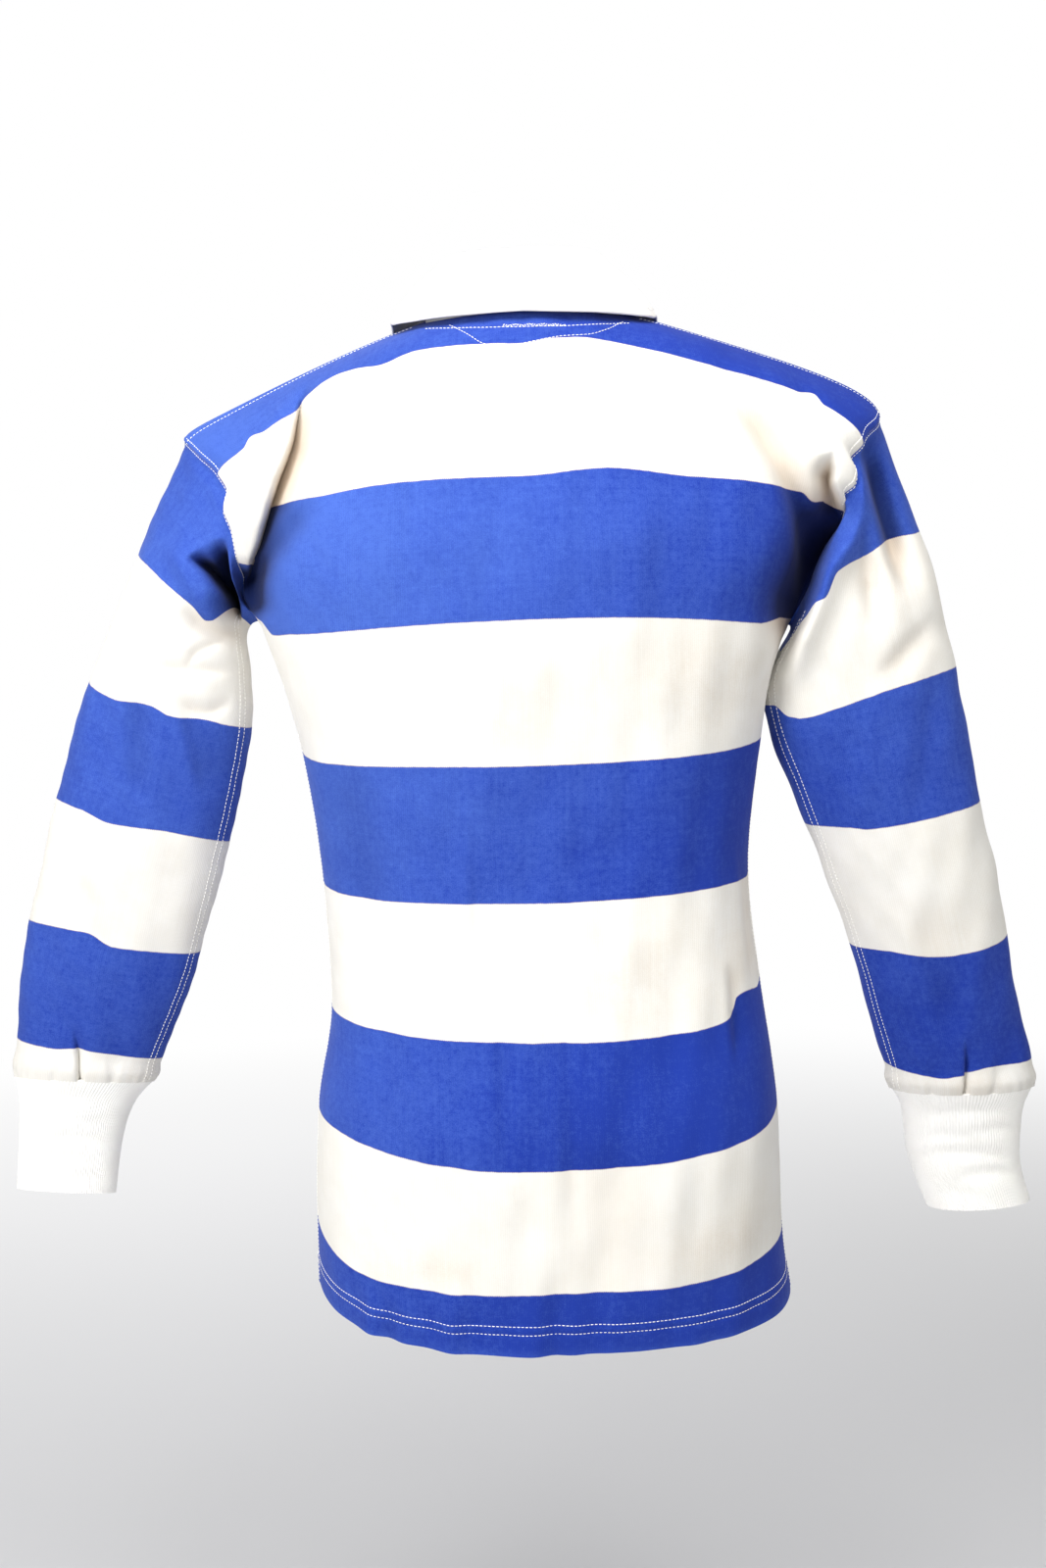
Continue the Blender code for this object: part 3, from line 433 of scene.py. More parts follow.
# ---- hoops and marks
# the body's hoops: the length below the shoulder line where each one ends, and how far
# each end lies below that on the back, at places across it from the right to the left
HOOP_ENDS = (-0.040, 0.062, 0.163, 0.266, 0.372, 0.475, 0.577, 0.673, 0.765, 0.867)
BACK_HOOPS = hoop_lines({
    1: [
        (-0.94, 11), (-0.7, 8), (-0.655, -2), (-0.6, 5), (-0.43, 6), (-0.28, 1), (-0.185, -4),
        (-0.11, -6), (-0.05, -4), (0.01, 1), (0.225, -3), (0.298, 1), (0.367, -10), (0.407, -14),
        (0.472, -10), (0.558, -3), (0.625, 2), (0.677, -4), (0.728, 4), (0.965, 1)],
    2: [
        (-0.785, 2), (-0.725, 6), (-0.66, 0), (-0.343, 0), (-0.155, -5), (0, 0), (0.443, 1),
        (0.6, -6), (0.68, -12), (0.72, -8), (0.77, 12), (0.83, 28), (0.9, 20), (1, 10)],
    3: [(-0.76, -5), (-0.62, 1), (0, 0), (0.63, -2), (0.755, 1), (0.81, -10), (1, -12)],
    5: [(-0.89, 3), (-0.6, 0), (0.9, 1)],
    6: [(-0.85, -10), (-0.7, -16), (-0.66, -14.5), (-0.63, -7), (-0.6, -2), (-0.53, 0), (0.85, 2)],
    7: [(-0.85, -10), (-0.5, -4), (0, 0), (0.86, -5)],
    8: [(-0.89, -8), (-0.4, 0), (0.573, 2), (0.68, -1), (0.88, -6)],
})
# the same for the sleeves, at turns from the top line (0) to the underarm (0.5)
SLEEVE_HOOPS = {
    LEFT: hoop_lines({
        1: [
            (0, 2), (0.269, 1), (0.305, 5), (0.328, -1), (0.346, -12), (0.383, -44), (0.43, -60),
            (0.5, -64)],
        2: [(0, 0), (0.093, 5), (0.158, 7), (0.237, 2), (0.277, 6), (0.345, 2), (0.5, 0)],
        3: [(0, -1), (0.145, -1), (0.21, 3), (0.32, -1), (0.5, 1)],
        4: [(0, -3), (0.13, -6), (0.21, -8), (0.267, 0), (0.5, 0)],
        5: [(0, -5), (0.19, -2), (0.243, -4.5), (0.38, -2), (0.5, -2)],
    }),
    RIGHT: hoop_lines({
        1: [
            (0, 0), (0.055, -2), (0.206, -25), (0.262, -29), (0.293, -25), (0.315, -7),
            (0.348, -14), (0.385, -20), (0.42, -28), (0.46, -18), (0.5, -12)],
        2: [(0, -1), (0.23, 0), (0.307, 5), (0.372, 10), (0.405, 5), (0.436, -12), (0.5, -16)],
        3: [(0, -2), (0.14, 1), (0.24, 4), (0.316, 5), (0.353, 2), (0.5, -2)],
        4: [(0, -3), (0.19, 6), (0.252, 8), (0.357, 2), (0.5, 0)],
        5: [(0, -2), (0.2, -1), (0.267, 5), (0.311, 8), (0.371, 5), (0.5, -1)],
    }),
}
# brownish marks on the back and sleeves: place, reach along X and Z, strength. Most are stains; the mark
# in the crease beside the left armhole is painted shade, and the one on the right sleeve below its
# armhole is a darker brownish patch.
STAINS_AND_SHADE = table("x z reach_x reach_z strength", [
    (-70, -500, 40, 45, 0.28),
    (-120, -285, 50, 40, 0.32),
    (85, -712, 35, 14, 0.34),
    (-135, -705, 45, 20, 0.34),
    (20, -300, 50, 30, 0.15),
    (-150, -480, 30, 45, 0.22),
    (-172, -150, 20, 30, 0.3),
    # painted shade in the crease beside the left armhole
    (190, -120, 12, 40, 0.3),
    (-270, -300, 30, 30, 0.3),
    # a darker brownish patch on the right sleeve below the armhole
    (-268, -214, 24, 22, 0.4),
    (-335, -505, 40, 30, 0.2),
    (-350, -622, 60, 12, 0.3),
    (345, -600, 20, 14, 0.22),
])


# ---- curves and folds
def smooth(value):
    """0 to 1 with soft ends."""
    value = np.clip(value, 0.0, 1.0)
    return value * value * (3.0 - 2.0 * value)


def along(knots, values, at):
    """Smooth curve through the knots that never overshoots them and goes on straight."""
    knots, values = np.asarray(knots), np.asarray(values)
    step = np.diff(knots)
    rise = np.diff(values) / step
    slope = np.empty_like(values)
    slope[0], slope[-1] = rise[0], rise[-1]
    same = rise[1:] * rise[:-1] > 0.0
    first, second = 2.0 * step[1:] + step[:-1], step[1:] + 2.0 * step[:-1]
    with np.errstate(divide="ignore", invalid="ignore"):
        mean = (first + second) / (first / rise[:-1] + second / rise[1:])
    slope[1:-1] = np.where(same, mean, 0.0)
    inside = np.clip(at, knots[0], knots[-1])
    i = np.clip(np.searchsorted(knots, inside) - 1, 0, len(step) - 1)
    h = step[i]
    q = (inside - knots[i]) / h
    curve = ((1 + 2 * q) * (1 - q) ** 2 * values[i] + q * (1 - q) ** 2 * h * slope[i]
             + q * q * (3 - 2 * q) * values[i + 1] + q * q * (q - 1) * h * slope[i + 1])
    past = at - inside
    return curve + past * np.where(past < 0.0, slope[0], slope[-1])


def eased(knots, values, at):
    """The same curve with its bends softened."""
    weights = ((-2, 1 / 16), (-1, 1 / 4), (0, 3 / 8), (1, 1 / 4), (2, 1 / 16))
    return sum(weight * along(knots, values, at + step * BEND_REACH) for step, weight in weights)


def read(form, name, at):
    """A column of a form, at places in its first column."""
    return eased(next(iter(form.values())), form[name], at)


def across(stations, at):
    """Natural spline through seven stations spaced evenly from -1 to 1."""
    count, h = 7, 1.0 / 3.0
    matrix = np.eye(count)
    bend = np.zeros((count, count))
    for i in range(1, count - 1):
        matrix[i, i - 1:i + 2] = 1.0, 4.0, 1.0
        bend[i, i - 1:i + 2] = 1.0, -2.0, 1.0
    second = np.linalg.solve(matrix, bend)
    i = np.clip(((at + 1.0) / h).astype(int), 0, count - 2)
    b = (at + 1.0) / h - i
    a = 1.0 - b
    weights = np.zeros(at.shape + (count,))
    rows = np.indices(at.shape)
    weights[(*rows, i)] += a
    weights[(*rows, i + 1)] += b
    weights += (a ** 3 - a)[..., None] * second[i] + (b ** 3 - b)[..., None] * second[i + 1]
    return (weights * np.stack(stations, -1)).sum(-1)


def unit(vectors):
    """The vectors at a length of one."""
    return vectors / (np.linalg.norm(vectors, axis=-1, keepdims=True) + 1e-12)


def crease_field(x, z, creases):
    """How far the creases push a point out, and how far their lips lean along X and Z."""
    push, lean_x, lean_z = (np.zeros_like(x) for _ in range(3))
    for x0, z0, x1, z1, steep, soft, depth, bow, lean in zip(*creases.values()):
        length = math.hypot(x1 - x0, z1 - z0)
        ex, ez = (x1 - x0) / length, (z1 - z0) / length
        way = ((x - x0) * ex + (z - z0) * ez) / length
        middle = np.clip(way, -CREASE_PAST, 1.0 + CREASE_PAST)
        off = (x - x0) * ez - (z - z0) * ex - bow * 4.0 * middle * (1.0 - middle)
        taper = (smooth((way + CREASE_PAST) / CREASE_TAPER)
                 * smooth((1.0 + CREASE_PAST - way) / CREASE_TAPER))
        push -= depth * np.exp(-(off / np.where(off < 0.0, steep, soft)) ** 2) * taper
        lip = -LIP_PLACE * steep if depth > 0.0 else 0.0
        near = lean * np.exp(-((off - lip) / (LIP_WIDTH * steep)) ** 2) * taper
        lean_x += near * ez
        lean_z -= near * ex
    return push, lean_x, lean_z


def hoops(place, length, nominal, shifts):
    """The number of hoops above each point; place is the same all down a column."""
    at = place[0]
    ends = np.repeat(np.array(nominal)[:, None], len(at), axis=1)
    for number, line in shifts.items():
        ends[number] += along(line["at"], line["shift"], np.clip(at, line["at"][0], line["at"][-1]))
    numbers = np.arange(len(nominal)) - 1.0
    columns = [np.interp(length[:, i], ends[:, i], numbers) for i in range(len(at))]
    return np.stack(columns, -1)


def unevenness(x, z, start):
    """Soft waves of the cloth."""
    return sum(height * np.sin(TURN * (x / pitch_x + z / pitch_z) + begin + start)
               for pitch_x, pitch_z, begin, height in zip(*UNEVEN.values()))


def sewn(distance):
    """Relief beside a felled seam: a groove at the seam and a raised allowance."""
    groove = SEAM_GROOVE * np.exp(-(distance / SEAM_SOFT) ** 2)
    allowance = smooth(distance / SEAM_SOFT) * smooth((FELL_WIDTH - distance) / SEAM_SOFT)
    return SEAM_RISE * allowance - groove


# ---- the panels
def side_depth(side, s):
    """Y of a panel's side edge: round the armhole, then straight down the side seam."""
    share = np.clip(s / ARMHOLE_LENGTH, 0.0, 1.0)
    bow = np.sin(np.pi * share) ** 0.75
    return TIP_DEPTH * (1.0 - share) + ARMHOLE_DEPTH[side] * np.abs(bow)


def over_ridge(form, name, column, top, s):
    """A column of the front's form, which starts from the back's shoulder line."""
    start = read(top, column, np.zeros(1))[0]
    ridge = RIDGE_RISE if name == "z" else -SEAM_BEHIND_RIDGE
    knots = np.concatenate([[0.0, SEAM_BEHIND_RIDGE], form["s"]])
    return along(knots, np.concatenate([[start, start + ridge], form[column]]), s)


def stations(side, name, s):
    """Y or Z of a panel at its seven stations, from the right side to the left. The front
    shares the back's shoulder line and side seams."""
    if side == "back":
        middle = read(BACK_CENTRE, name, s)
    else:
        middle = over_ridge(FRONT_CENTRE, name, name, BACK_CENTRE, s)
    halves = []
    for form in (BACK_RIGHT, BACK_LEFT):
        if side == "back":
            half = [read(form, name + k, s) for k in "12"]
        else:
            half = [over_ridge(FRONT_SIDE, name, name + k, form, s) for k in "12"]
        half.append(side_depth(side, s) if name == "y" else read(form, "z3", s))
        halves.append(half)
    return [*halves[0][::-1], middle, *halves[1]]


def half_width(u, s):
    """The body's half width, on the side where u lies."""
    return np.where(u >= 0.0, read(BACK_LEFT, "x3", s), read(BACK_RIGHT, "x3", s))


def seam_span(s):
    """Length of cloth for a whole step of u beside the panel's edge."""
    return ARMHOLE_SPAN + (SIDE_SPAN - ARMHOLE_SPAN) * smooth(s / ARMHOLE_LENGTH * 2.5 - 2.0)


def seam_drift(side, u, s):
    """How far a panel moves along X, near its side edges, with the seams' wandering."""
    drift = np.zeros_like(u)
    for sign in SIDES:
        form, (level, reach, fill) = SEAM_DRIFT[sign], SIDE_FILL[sign]
        outward = fill * np.exp(-((s - level) / reach) ** 2) * smooth((s - ARMHOLE_LENGTH) / 0.02)
        if side == "back":
            outward = outward + along(form["s"], form["outward"], np.clip(s, 0.0, ARMHOLE_LENGTH))
        drift = drift + sign * outward * np.exp(-((1.0 - sign * u) * ARMHOLE_SPAN / DRIFT_REACH) ** 2)
    return drift


def panel(side, u, s, creased=True):
    """A point of the back or front: u runs from the right side to the left."""
    reach = half_width(u, s)
    x = reach * np.sin(u * np.pi / 2.0)
    y, z = (across(stations(side, name, s), u) for name in "yz")
    if not creased:
        return np.stack([x, y, z], -1)
    dent, lean_x, lean_z = crease_field(x, z, PANEL_CREASES[side])
    push = unevenness(x, z, WAVE_START[side][0])
    for i, (pitch, height) in enumerate(HEM_WAVES):
        turn = x / pitch + (i + WAVE_START[side][1])
        push = push + height * np.sin(turn) * np.exp((s - BODY_LENGTH) / HEM_WAVE_REACH)
    seam = smooth((s / ARMHOLE_LENGTH - SEAM_CALM) / (1.0 - SEAM_CALM))
    hold = (1.0 - seam * np.abs(u) ** 6) * smooth(s / FOLD_START)
    edge = (1.0 - np.abs(u)) * seam_span(s)
    free = hold * smooth(edge / LEAN_START)
    push = push * hold + sewn(edge) + hem_relief(BODY_LENGTH - s)
    push = push - SEAM_GROOVE * np.exp(-(s / SEAM_SOFT) ** 2)
    away_x, away_y = SIDEWAYS * x / reach ** 2, y / MEAN_DEPTH ** 2
    size = np.hypot(away_x, away_y) + 1e-9
    x = x + push * away_x / size + lean_x * free + seam_drift(side, u, s)
    y = y + push * away_y / size + dent * hold * FACING[side]
    return np.stack([x, y, z + lean_z * free], -1)


def hem_relief(height):
    """The hem is doubled, and its two rows of stitches draw it in."""
    raised = SEAM_RISE * smooth((HEM_ROWS[-1] + SEAM_SOFT - height) / SEAM_SOFT)
    drawn = sum(np.exp(-((height - row) / SEAM_SOFT) ** 2) for row in HEM_ROWS)
    return raised - SEAM_GROOVE * drawn


def neck_edge(side, turn):
    """u and s of the neckline; turn is 0 at the centre and 1 at the neck point."""
    u = NECK_POINT * np.sin(turn * np.pi / 2.0)
    drop = np.abs(np.cos(turn * np.pi / 2.0))
    if side == "back":
        return u, BACK_NECK_DROP * drop
    return u, FRONT_NECK_DROP * drop ** 1.3


def graded(stops):
    """Places from the first stop to the last, in an even number of steps."""
    places, steps = np.array(stops).T
    fine = np.linspace(places[0], places[-1], 4001)
    count = np.concatenate([[0.0], np.cumsum(np.diff(fine) / np.interp(fine[1:], places, steps))])
    total = 2 * int(round(count[-1] / 2.0))
    return np.interp(np.linspace(0.0, count[-1], total + 1), count, fine)


def panel_skin(side):
    """The outer skin of a panel, and the hoop and the length down at each of its points."""
    neck_u, neck_s = neck_edge(side, np.linspace(0.0, 1.0, NECK_STOPS[side]))
    side_u, down = graded(PANEL_ACROSS[side])[1:], graded(PANEL_DOWN[side])[:, None]
    half_u = np.concatenate([neck_u, side_u])
    half_top = np.concatenate([neck_s, np.zeros(len(side_u))])
    u = np.concatenate([-half_u[:0:-1], half_u])
    top = np.concatenate([half_top[:0:-1], half_top])
    s = down + top[None, :] * (1.0 - down / BODY_LENGTH) ** TOP_CROWDING
    u = np.broadcast_to(u, s.shape).copy()
    # painted shade for the bottoms of the panel's creases
    hollow = painted_crease_shade(panel(side, u, s, False), PANEL_CREASES[side])
    shifts = BACK_HOOPS if side == "back" else {}
    return panel(side, u, s), hoops(u, s, HOOP_ENDS, shifts), s, hollow


# ---- the sleeves
def section(form, sign, t, turn):
    """A point of a sleeve or cuff; turn is 0 on its top line and a quarter behind."""
    out, into = (np.stack([sign * read(form, "x_" + end, t), 0 * t, read(form, "z_" + end, t)], -1)
                 for end in ("out", "in"))
    y, depth = read(form, "y", t), read(form, "depth", t)
    angle = TURN * turn
    point = (out + into) / 2.0 + (out - into) / 2.0 * np.cos(angle)[..., None]
    point[..., 1] = y + depth * np.sin(angle)
    return point


def armhole(sign, turn, creased):
    """A point of the armhole's edge: behind for a turn above nought, in front below."""
    s = 2.0 * ARMHOLE_LENGTH * np.abs(turn)
    u = np.full_like(s, sign)
    behind = (turn >= 0.0)[..., None]
    return np.where(behind, panel("back", u, s, creased), panel("front", u, s, creased))


def tilt(sign, turn):
    """How far a point round the cuff's seam is raised, as its back is pulled up."""
    return CUFF_TILT[sign] * np.sin(TURN * turn)


def sleeve_form(sign, t, turn):
    """A point of a sleeve without its creases."""
    form = LEFT_SLEEVE if sign > 0 else RIGHT_SLEEVE
    smooth_edge, sewn_edge = armhole(sign, turn, False), armhole(sign, turn, True)
    start = smooth_edge - section(form, sign, 0 * t, turn)
    point = section(form, sign, t, turn) + start * (1.0 - smooth(t / ARMHOLE_FADE))[..., None]
    level, reach, fill = UNDERARM_FILL[sign]
    under = np.clip(-np.cos(TURN * turn), 0.0, 1.0) ** 1.5 * smooth(t / UNDERARM_START)
    point[..., 0] -= sign * fill * under * np.exp(-((t - level) / reach) ** 2)
    point[..., 2] += tilt(sign, turn) * smooth((t - SLEEVE_LENGTH) / TILT_REACH + 1.0)
    return point + (sewn_edge - smooth_edge) * (1.0 - smooth(t / DENT_FADE))[..., None]


def sleeve(sign, t, turn):
    """A point of a sleeve; turn runs from a half, under the arm, over its back and top."""
    point = sleeve_form(sign, t, turn)
    x, z = point[..., 0].copy(), point[..., 2].copy()
    angle = TURN * turn
    behind = np.sin(angle)
    left = SLEEVE_LENGTH - t
    hold = smooth(t / CREASE_START) * smooth(left / CUFF_CALM)
    push = unevenness(x, z, 4.0 + sign) * hold
    lean_x, lean_y, lean_z = (np.zeros_like(x) for _ in range(3))
    for creases, share, kept in ((SLEEVE_BACK_CREASES, smooth(behind * 3.0), hold),
                                 (SLEEVE_FRONT_CREASES, smooth(-behind * 3.0), hold),
                                 (CUFF_PLEATS, smooth(behind * 3.0), 1.0)):
        out, out_x, out_z = crease_field(x, z, creases)
        lean_y += out * share * kept * np.sign(behind)
        lean_x, lean_z = lean_x + out_x * share * kept, lean_z + out_z * share * kept
    push = push + BLOUSE * np.exp(-((left - BLOUSE_REACH) / BLOUSE_REACH) ** 2)
    gather = np.sin(angle * GATHER_COUNTS[0]) + 0.7 * np.sin(angle * GATHER_COUNTS[1] + 1.0)
    push = push + GATHER * gather * np.exp(-left / GATHER_REACH)
    facing = unit(np.stack([SIDEWAYS * np.cos(angle) * sign, np.sin(angle)], -1))
    point[..., 0] += push * facing[..., 0] + lean_x
    point[..., 1] += push * facing[..., 1] + lean_y
    point[..., 2] += lean_z
    return point


def sleeve_skin(sign):
    """The outer skin of a sleeve, and the hoop and the length down at each of its points."""
    t, turn = np.meshgrid(graded(SLEEVE_DOWN), graded(SLEEVE_ROUND)[::-1], indexing="ij")
    nominal = HOOP_DEPTH * np.arange(0.0, 8.0)
    # painted shade for the bottoms of the sleeve's creases, on its back only
    hollow = painted_crease_shade(sleeve_form(sign, t, turn), SLEEVE_BACK_CREASES)
    hollow = hollow * smooth(3.0 * np.sin(TURN * turn)) * smooth(t / CREASE_START)
    return sleeve(sign, t, turn), hoops(np.abs(turn), t, nominal, SLEEVE_HOOPS[sign]), t, hollow


def cuff(sign, t, turn):
    """A point of a cuff: ribs along it, and wrinkles across them."""
    form = LEFT_CUFF if sign > 0 else RIGHT_CUFF
    point = section(form, sign, t, turn)
    angle = TURN * turn
    rib = (0.5 + 0.5 * np.cos(angle * CUFF_RIBS)) ** RIB_ROUNDNESS
    push = RIB_RELIEF * (rib - 1.0)
    for t0, turn0, reach, width, depth in zip(*CUFF_WRINKLES.values()):
        aside = (turn - turn0 - WRINKLE_SHIFT * sign) / reach
        lower = (t - t0 - WRINKLE_BOW * aside ** 2) / width
        push = push - depth * np.exp(-lower ** 2 - aside ** 2)
    point[..., 0] += push * np.cos(angle) * sign
    point[..., 1] += push * np.sin(angle)
    point[..., 2] += tilt(sign, turn)
    return point


def cuff_skin(sign):
    """The outer skin of a cuff, and the length down at each of its points."""
    turn = np.linspace(0.5, -0.5, RIB_POINTS * CUFF_RIBS + 1)
    t, turn = np.meshgrid(graded(CUFF_DOWN), turn, indexing="ij")
    return cuff(sign, t, turn), t


# ---- collar, placket, buttons
def neck_seam(way):
    """A point of the neckline; way is 0 at the centre back and 1 at the centre front."""
    turn = 2.0 * np.abs(way)
    points = []
    for side, near in (("back", np.minimum(turn, 1.0)), ("front", np.minimum(2.0 - turn, 1.0))):
        u, s = neck_edge(side, near)
        points.append(panel(side, np.sign(way) * u, s))
    return np.where((turn <= 1.0)[:, None], points[0], points[1])


def collar_lines(way):
    """The points of the collar's nine stations at each way round the neck."""
    size, sign = np.abs(way), np.where(way < 0.0, -1.0, 1.0)
    away = np.stack([np.sin(np.pi * way), np.cos(np.pi * way), 0 * way], -1)
    up = np.array([0.0, 0.0, 1.0])
    depth = np.where(size <= 0.5, FOLD_BACK, FOLD_FRONT)
    top = away * np.stack([np.full_like(way, FOLD_HALF_WIDTH), depth, 0 * way], -1)
    top[:, 2] = along(FOLD_LINE["way"], FOLD_LINE["z"], size)
    edge = np.stack([along(LEAF_EDGE["way"], LEAF_EDGE[name], size) for name in "xyz"], -1)
    edge[:, 0] *= sign
    wave = np.sin(way * 17.0 + 0.8) + 0.6 * np.sin(way * 31.0)
    foot = neck_seam(way) - away * (COLLAR_WALL / 2.0 + WALL) - LAY_GAP * up
    inside = top - FOLD_RADIUS * away - 1.3 * FOLD_RADIUS * up
    outside = top + FOLD_RADIUS * away - 1.3 * FOLD_RADIUS * up
    leaf = [outside + (edge - outside) * share
            + away * (LEAF_BULGE * math.sin(math.pi * share) + LEAF_WAVE * share * wave[:, None])
            for share in (0.25, 0.5, 0.75, 1.0)]
    return np.stack([foot, (foot + inside) / 2.0, inside, top, outside, *leaf], 0)


def collar_at(way, share):
    """Points of the collar for each way (columns) at each share up and over it (rows)."""
    stations = collar_lines(way)
    flat = stations.reshape(len(COLLAR_STATIONS), -1)
    curves = [along(COLLAR_STATIONS, column, share) for column in flat.T]
    return np.stack(curves, -1).reshape(len(share), len(way), 3)


def front_frame(x, s):
    """A point of the front near its centre line, and the way out of the cloth there."""
    u = np.arcsin(x / read(BACK_LEFT, "x3", s)) * 2.0 / np.pi
    return on_panel("front", u, s)


def on_panel(side, u, s):
    """Points of a panel, and the way out of the cloth there."""
    point = panel(side, u, s)
    aside = panel(side, u + NUDGE, s) - panel(side, u - NUDGE, s)
    down = panel(side, u, s + NUDGE) - panel(side, u, s - NUDGE)
    out = unit(np.cross(aside, down))
    return point, out * FACING[side]


def on_sleeve(sign, t, turn):
    """Points of a sleeve, and the way out of the cloth there."""
    point = sleeve(sign, t, turn)
    aside = sleeve(sign, t, turn + NUDGE) - sleeve(sign, t, turn - NUDGE)
    down = sleeve(sign, t + NUDGE, turn) - sleeve(sign, np.maximum(t - NUDGE, 0.0), turn)
    return point, unit(np.cross(aside, down)) * -sign


# ---- meshes
def normals(grid):
    """The way that a grid of points faces at each of them."""
    return unit(np.cross(np.gradient(grid, axis=0), np.gradient(grid, axis=1)))


def shell(name, outer, inner, attributes):
    """A closed sheet from a fine outer skin and an inner skin with fewer rows and columns."""
    rows, columns = outer.shape[:2]
    row_step, column_step = (rows - 1) // (inner.shape[0] - 1), (columns - 1) // (inner.shape[1] - 1)
    fine = np.arange(rows * columns).reshape(rows, columns)
    coarse = fine[-1, -1] + 1 + np.arange(inner.shape[0] * inner.shape[1]).reshape(inner.shape[:2])

    def quads(index):
        corners = index[:-1, :-1], index[:-1, 1:], index[1:, 1:], index[1:, :-1]
        return np.stack([corner.ravel() for corner in corners], -1)

    def rim(edge, inside, step, flip):
        made = []
        for k in range(len(inside) - 1):
            face = [int(i) for i in edge[k * step:k * step + step + 1]]
            face += [int(inside[k + 1]), int(inside[k])]
            made.append(face[::-1] if flip else face)
        return made

    faces = quads(fine).tolist() + quads(coarse)[:, ::-1].tolist()
    faces += rim(fine[0], coarse[0], column_step, True)
    faces += rim(fine[-1], coarse[-1], column_step, False)
    faces += rim(fine[:, 0], coarse[:, 0], row_step, False)
    faces += rim(fine[:, -1], coarse[:, -1], row_step, True)
    middle = outer[rows // 2, columns // 2] - inner[inner.shape[0] // 2, inner.shape[1] // 2]
    if np.dot(normals(outer)[rows // 2, columns // 2], middle) > 0.0:
        faces = [face[::-1] for face in faces]
    mesh = new_mesh(name, np.concatenate([outer.reshape(-1, 3), inner.reshape(-1, 3)]), faces)
    for key, values in attributes.items():
        both = np.concatenate([values.ravel(), values[::row_step, ::column_step].ravel()])
        mesh.attributes.new(key, "FLOAT", "POINT").data.foreach_set("value", both.astype(np.float32))
    mesh.set_sharp_from_angle(angle=SHARP_EDGE)
    return link(name, mesh)


def new_mesh(name, points, faces):
    """A smooth mesh from its points and faces."""
    mesh = bpy.data.meshes.new(name)
    mesh.from_pydata(points.tolist(), [], faces)
    mesh.shade_smooth()
    return mesh


def link(name, data):
    """A new object in the scene."""
    made = bpy.data.objects.new(name, data)
    bpy.context.scene.collection.objects.link(made)
    return made


def widths(grid):
    """At each point of a grid, the length of cloth along its row from the row's middle."""
    steps = np.linalg.norm(np.diff(grid, axis=1), axis=-1)
    length = np.concatenate([np.zeros((len(grid), 1)), np.cumsum(steps, axis=1)], axis=1)
    return length - length[:, length.shape[1] // 2, None]


def cloth(node, material, outer, inner, attributes):
    """A cloth piece that stands for a node; the material is named as its slot is."""
    piece = shell("shirt_" + node, outer, inner, {"across": widths(outer), **attributes})
    piece.data.materials.append(MATERIALS[material])
    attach(piece, "root")
    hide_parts(node)
    return piece


def stain_and_shade_of(point):
    """How strongly the brownish marks show at each point; one of them is painted shade."""
    x, z = point[..., 0], point[..., 2]
    return sum(strength * np.exp(-((x - x0) / reach_x) ** 2 - ((z - z0) / reach_z) ** 2)
               for x0, z0, reach_x, reach_z, strength in zip(*STAINS_AND_SHADE.values()))


# ---- stitches
def one_stitch(radius):
    """The points and faces of a stitch along X: rings of points between its two ends."""
    local = []
    for place, size in STITCH_RINGS:
        lift = 0.9 * radius * (1.0 - (2.0 * place) ** 2) - 0.3 * radius
        for i in range(STITCH_SIDES if size else 1):
            turn = TURN * i / STITCH_SIDES
            local.append((place * STITCH_LENGTH, size * radius * math.cos(turn),
                          size * radius * math.sin(turn) + lift))
    first, second, third, last = (1 + k * STITCH_SIDES for k in range(4))
    faces = []
    for i in range(STITCH_SIDES):
        j = (i + 1) % STITCH_SIDES
        faces.append((0, first + j, first + i))
        faces.append((last, third + i, third + j))
        for start in (first, second):
            faces.append((start + i, start + j, start + STITCH_SIDES + j, start + STITCH_SIDES + i))
    return np.array(local), faces


def stitches(name, rows, radius=STITCH_RADIUS):
    """One mesh of short stitches; each row is its points and the cloth's way out there."""
    local, faces = one_stitch(radius)
    points, polygons = [], []
    for line, facing in rows:
        length = np.concatenate([[0.0], np.cumsum(np.linalg.norm(np.diff(line, axis=0), axis=1))])
        places = np.arange(STITCH_PITCH / 2.0, length[-1], STITCH_PITCH)
        centre, out, run = (np.stack([np.interp(places, length, column) for column in values.T], -1)
                            for values in (line, facing, np.gradient(line, axis=0)))
        out = unit(out)
        run = unit(run - (run * out).sum(-1, keepdims=True) * out)
        axes = np.stack([run, np.cross(out, run), out], 1)
        for stitch in centre[:, None, :] + np.einsum("kc,ncd->nkd", local, axes):
            base = len(points) * len(local)
            points.append(stitch)
            polygons += [tuple(base + i for i in face) for face in faces]
    mesh = new_mesh(name, np.concatenate(points), polygons)
    mesh.materials.append(MATERIALS["thread"])
    piece = link(name, mesh)
    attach(piece, "root")
    return piece


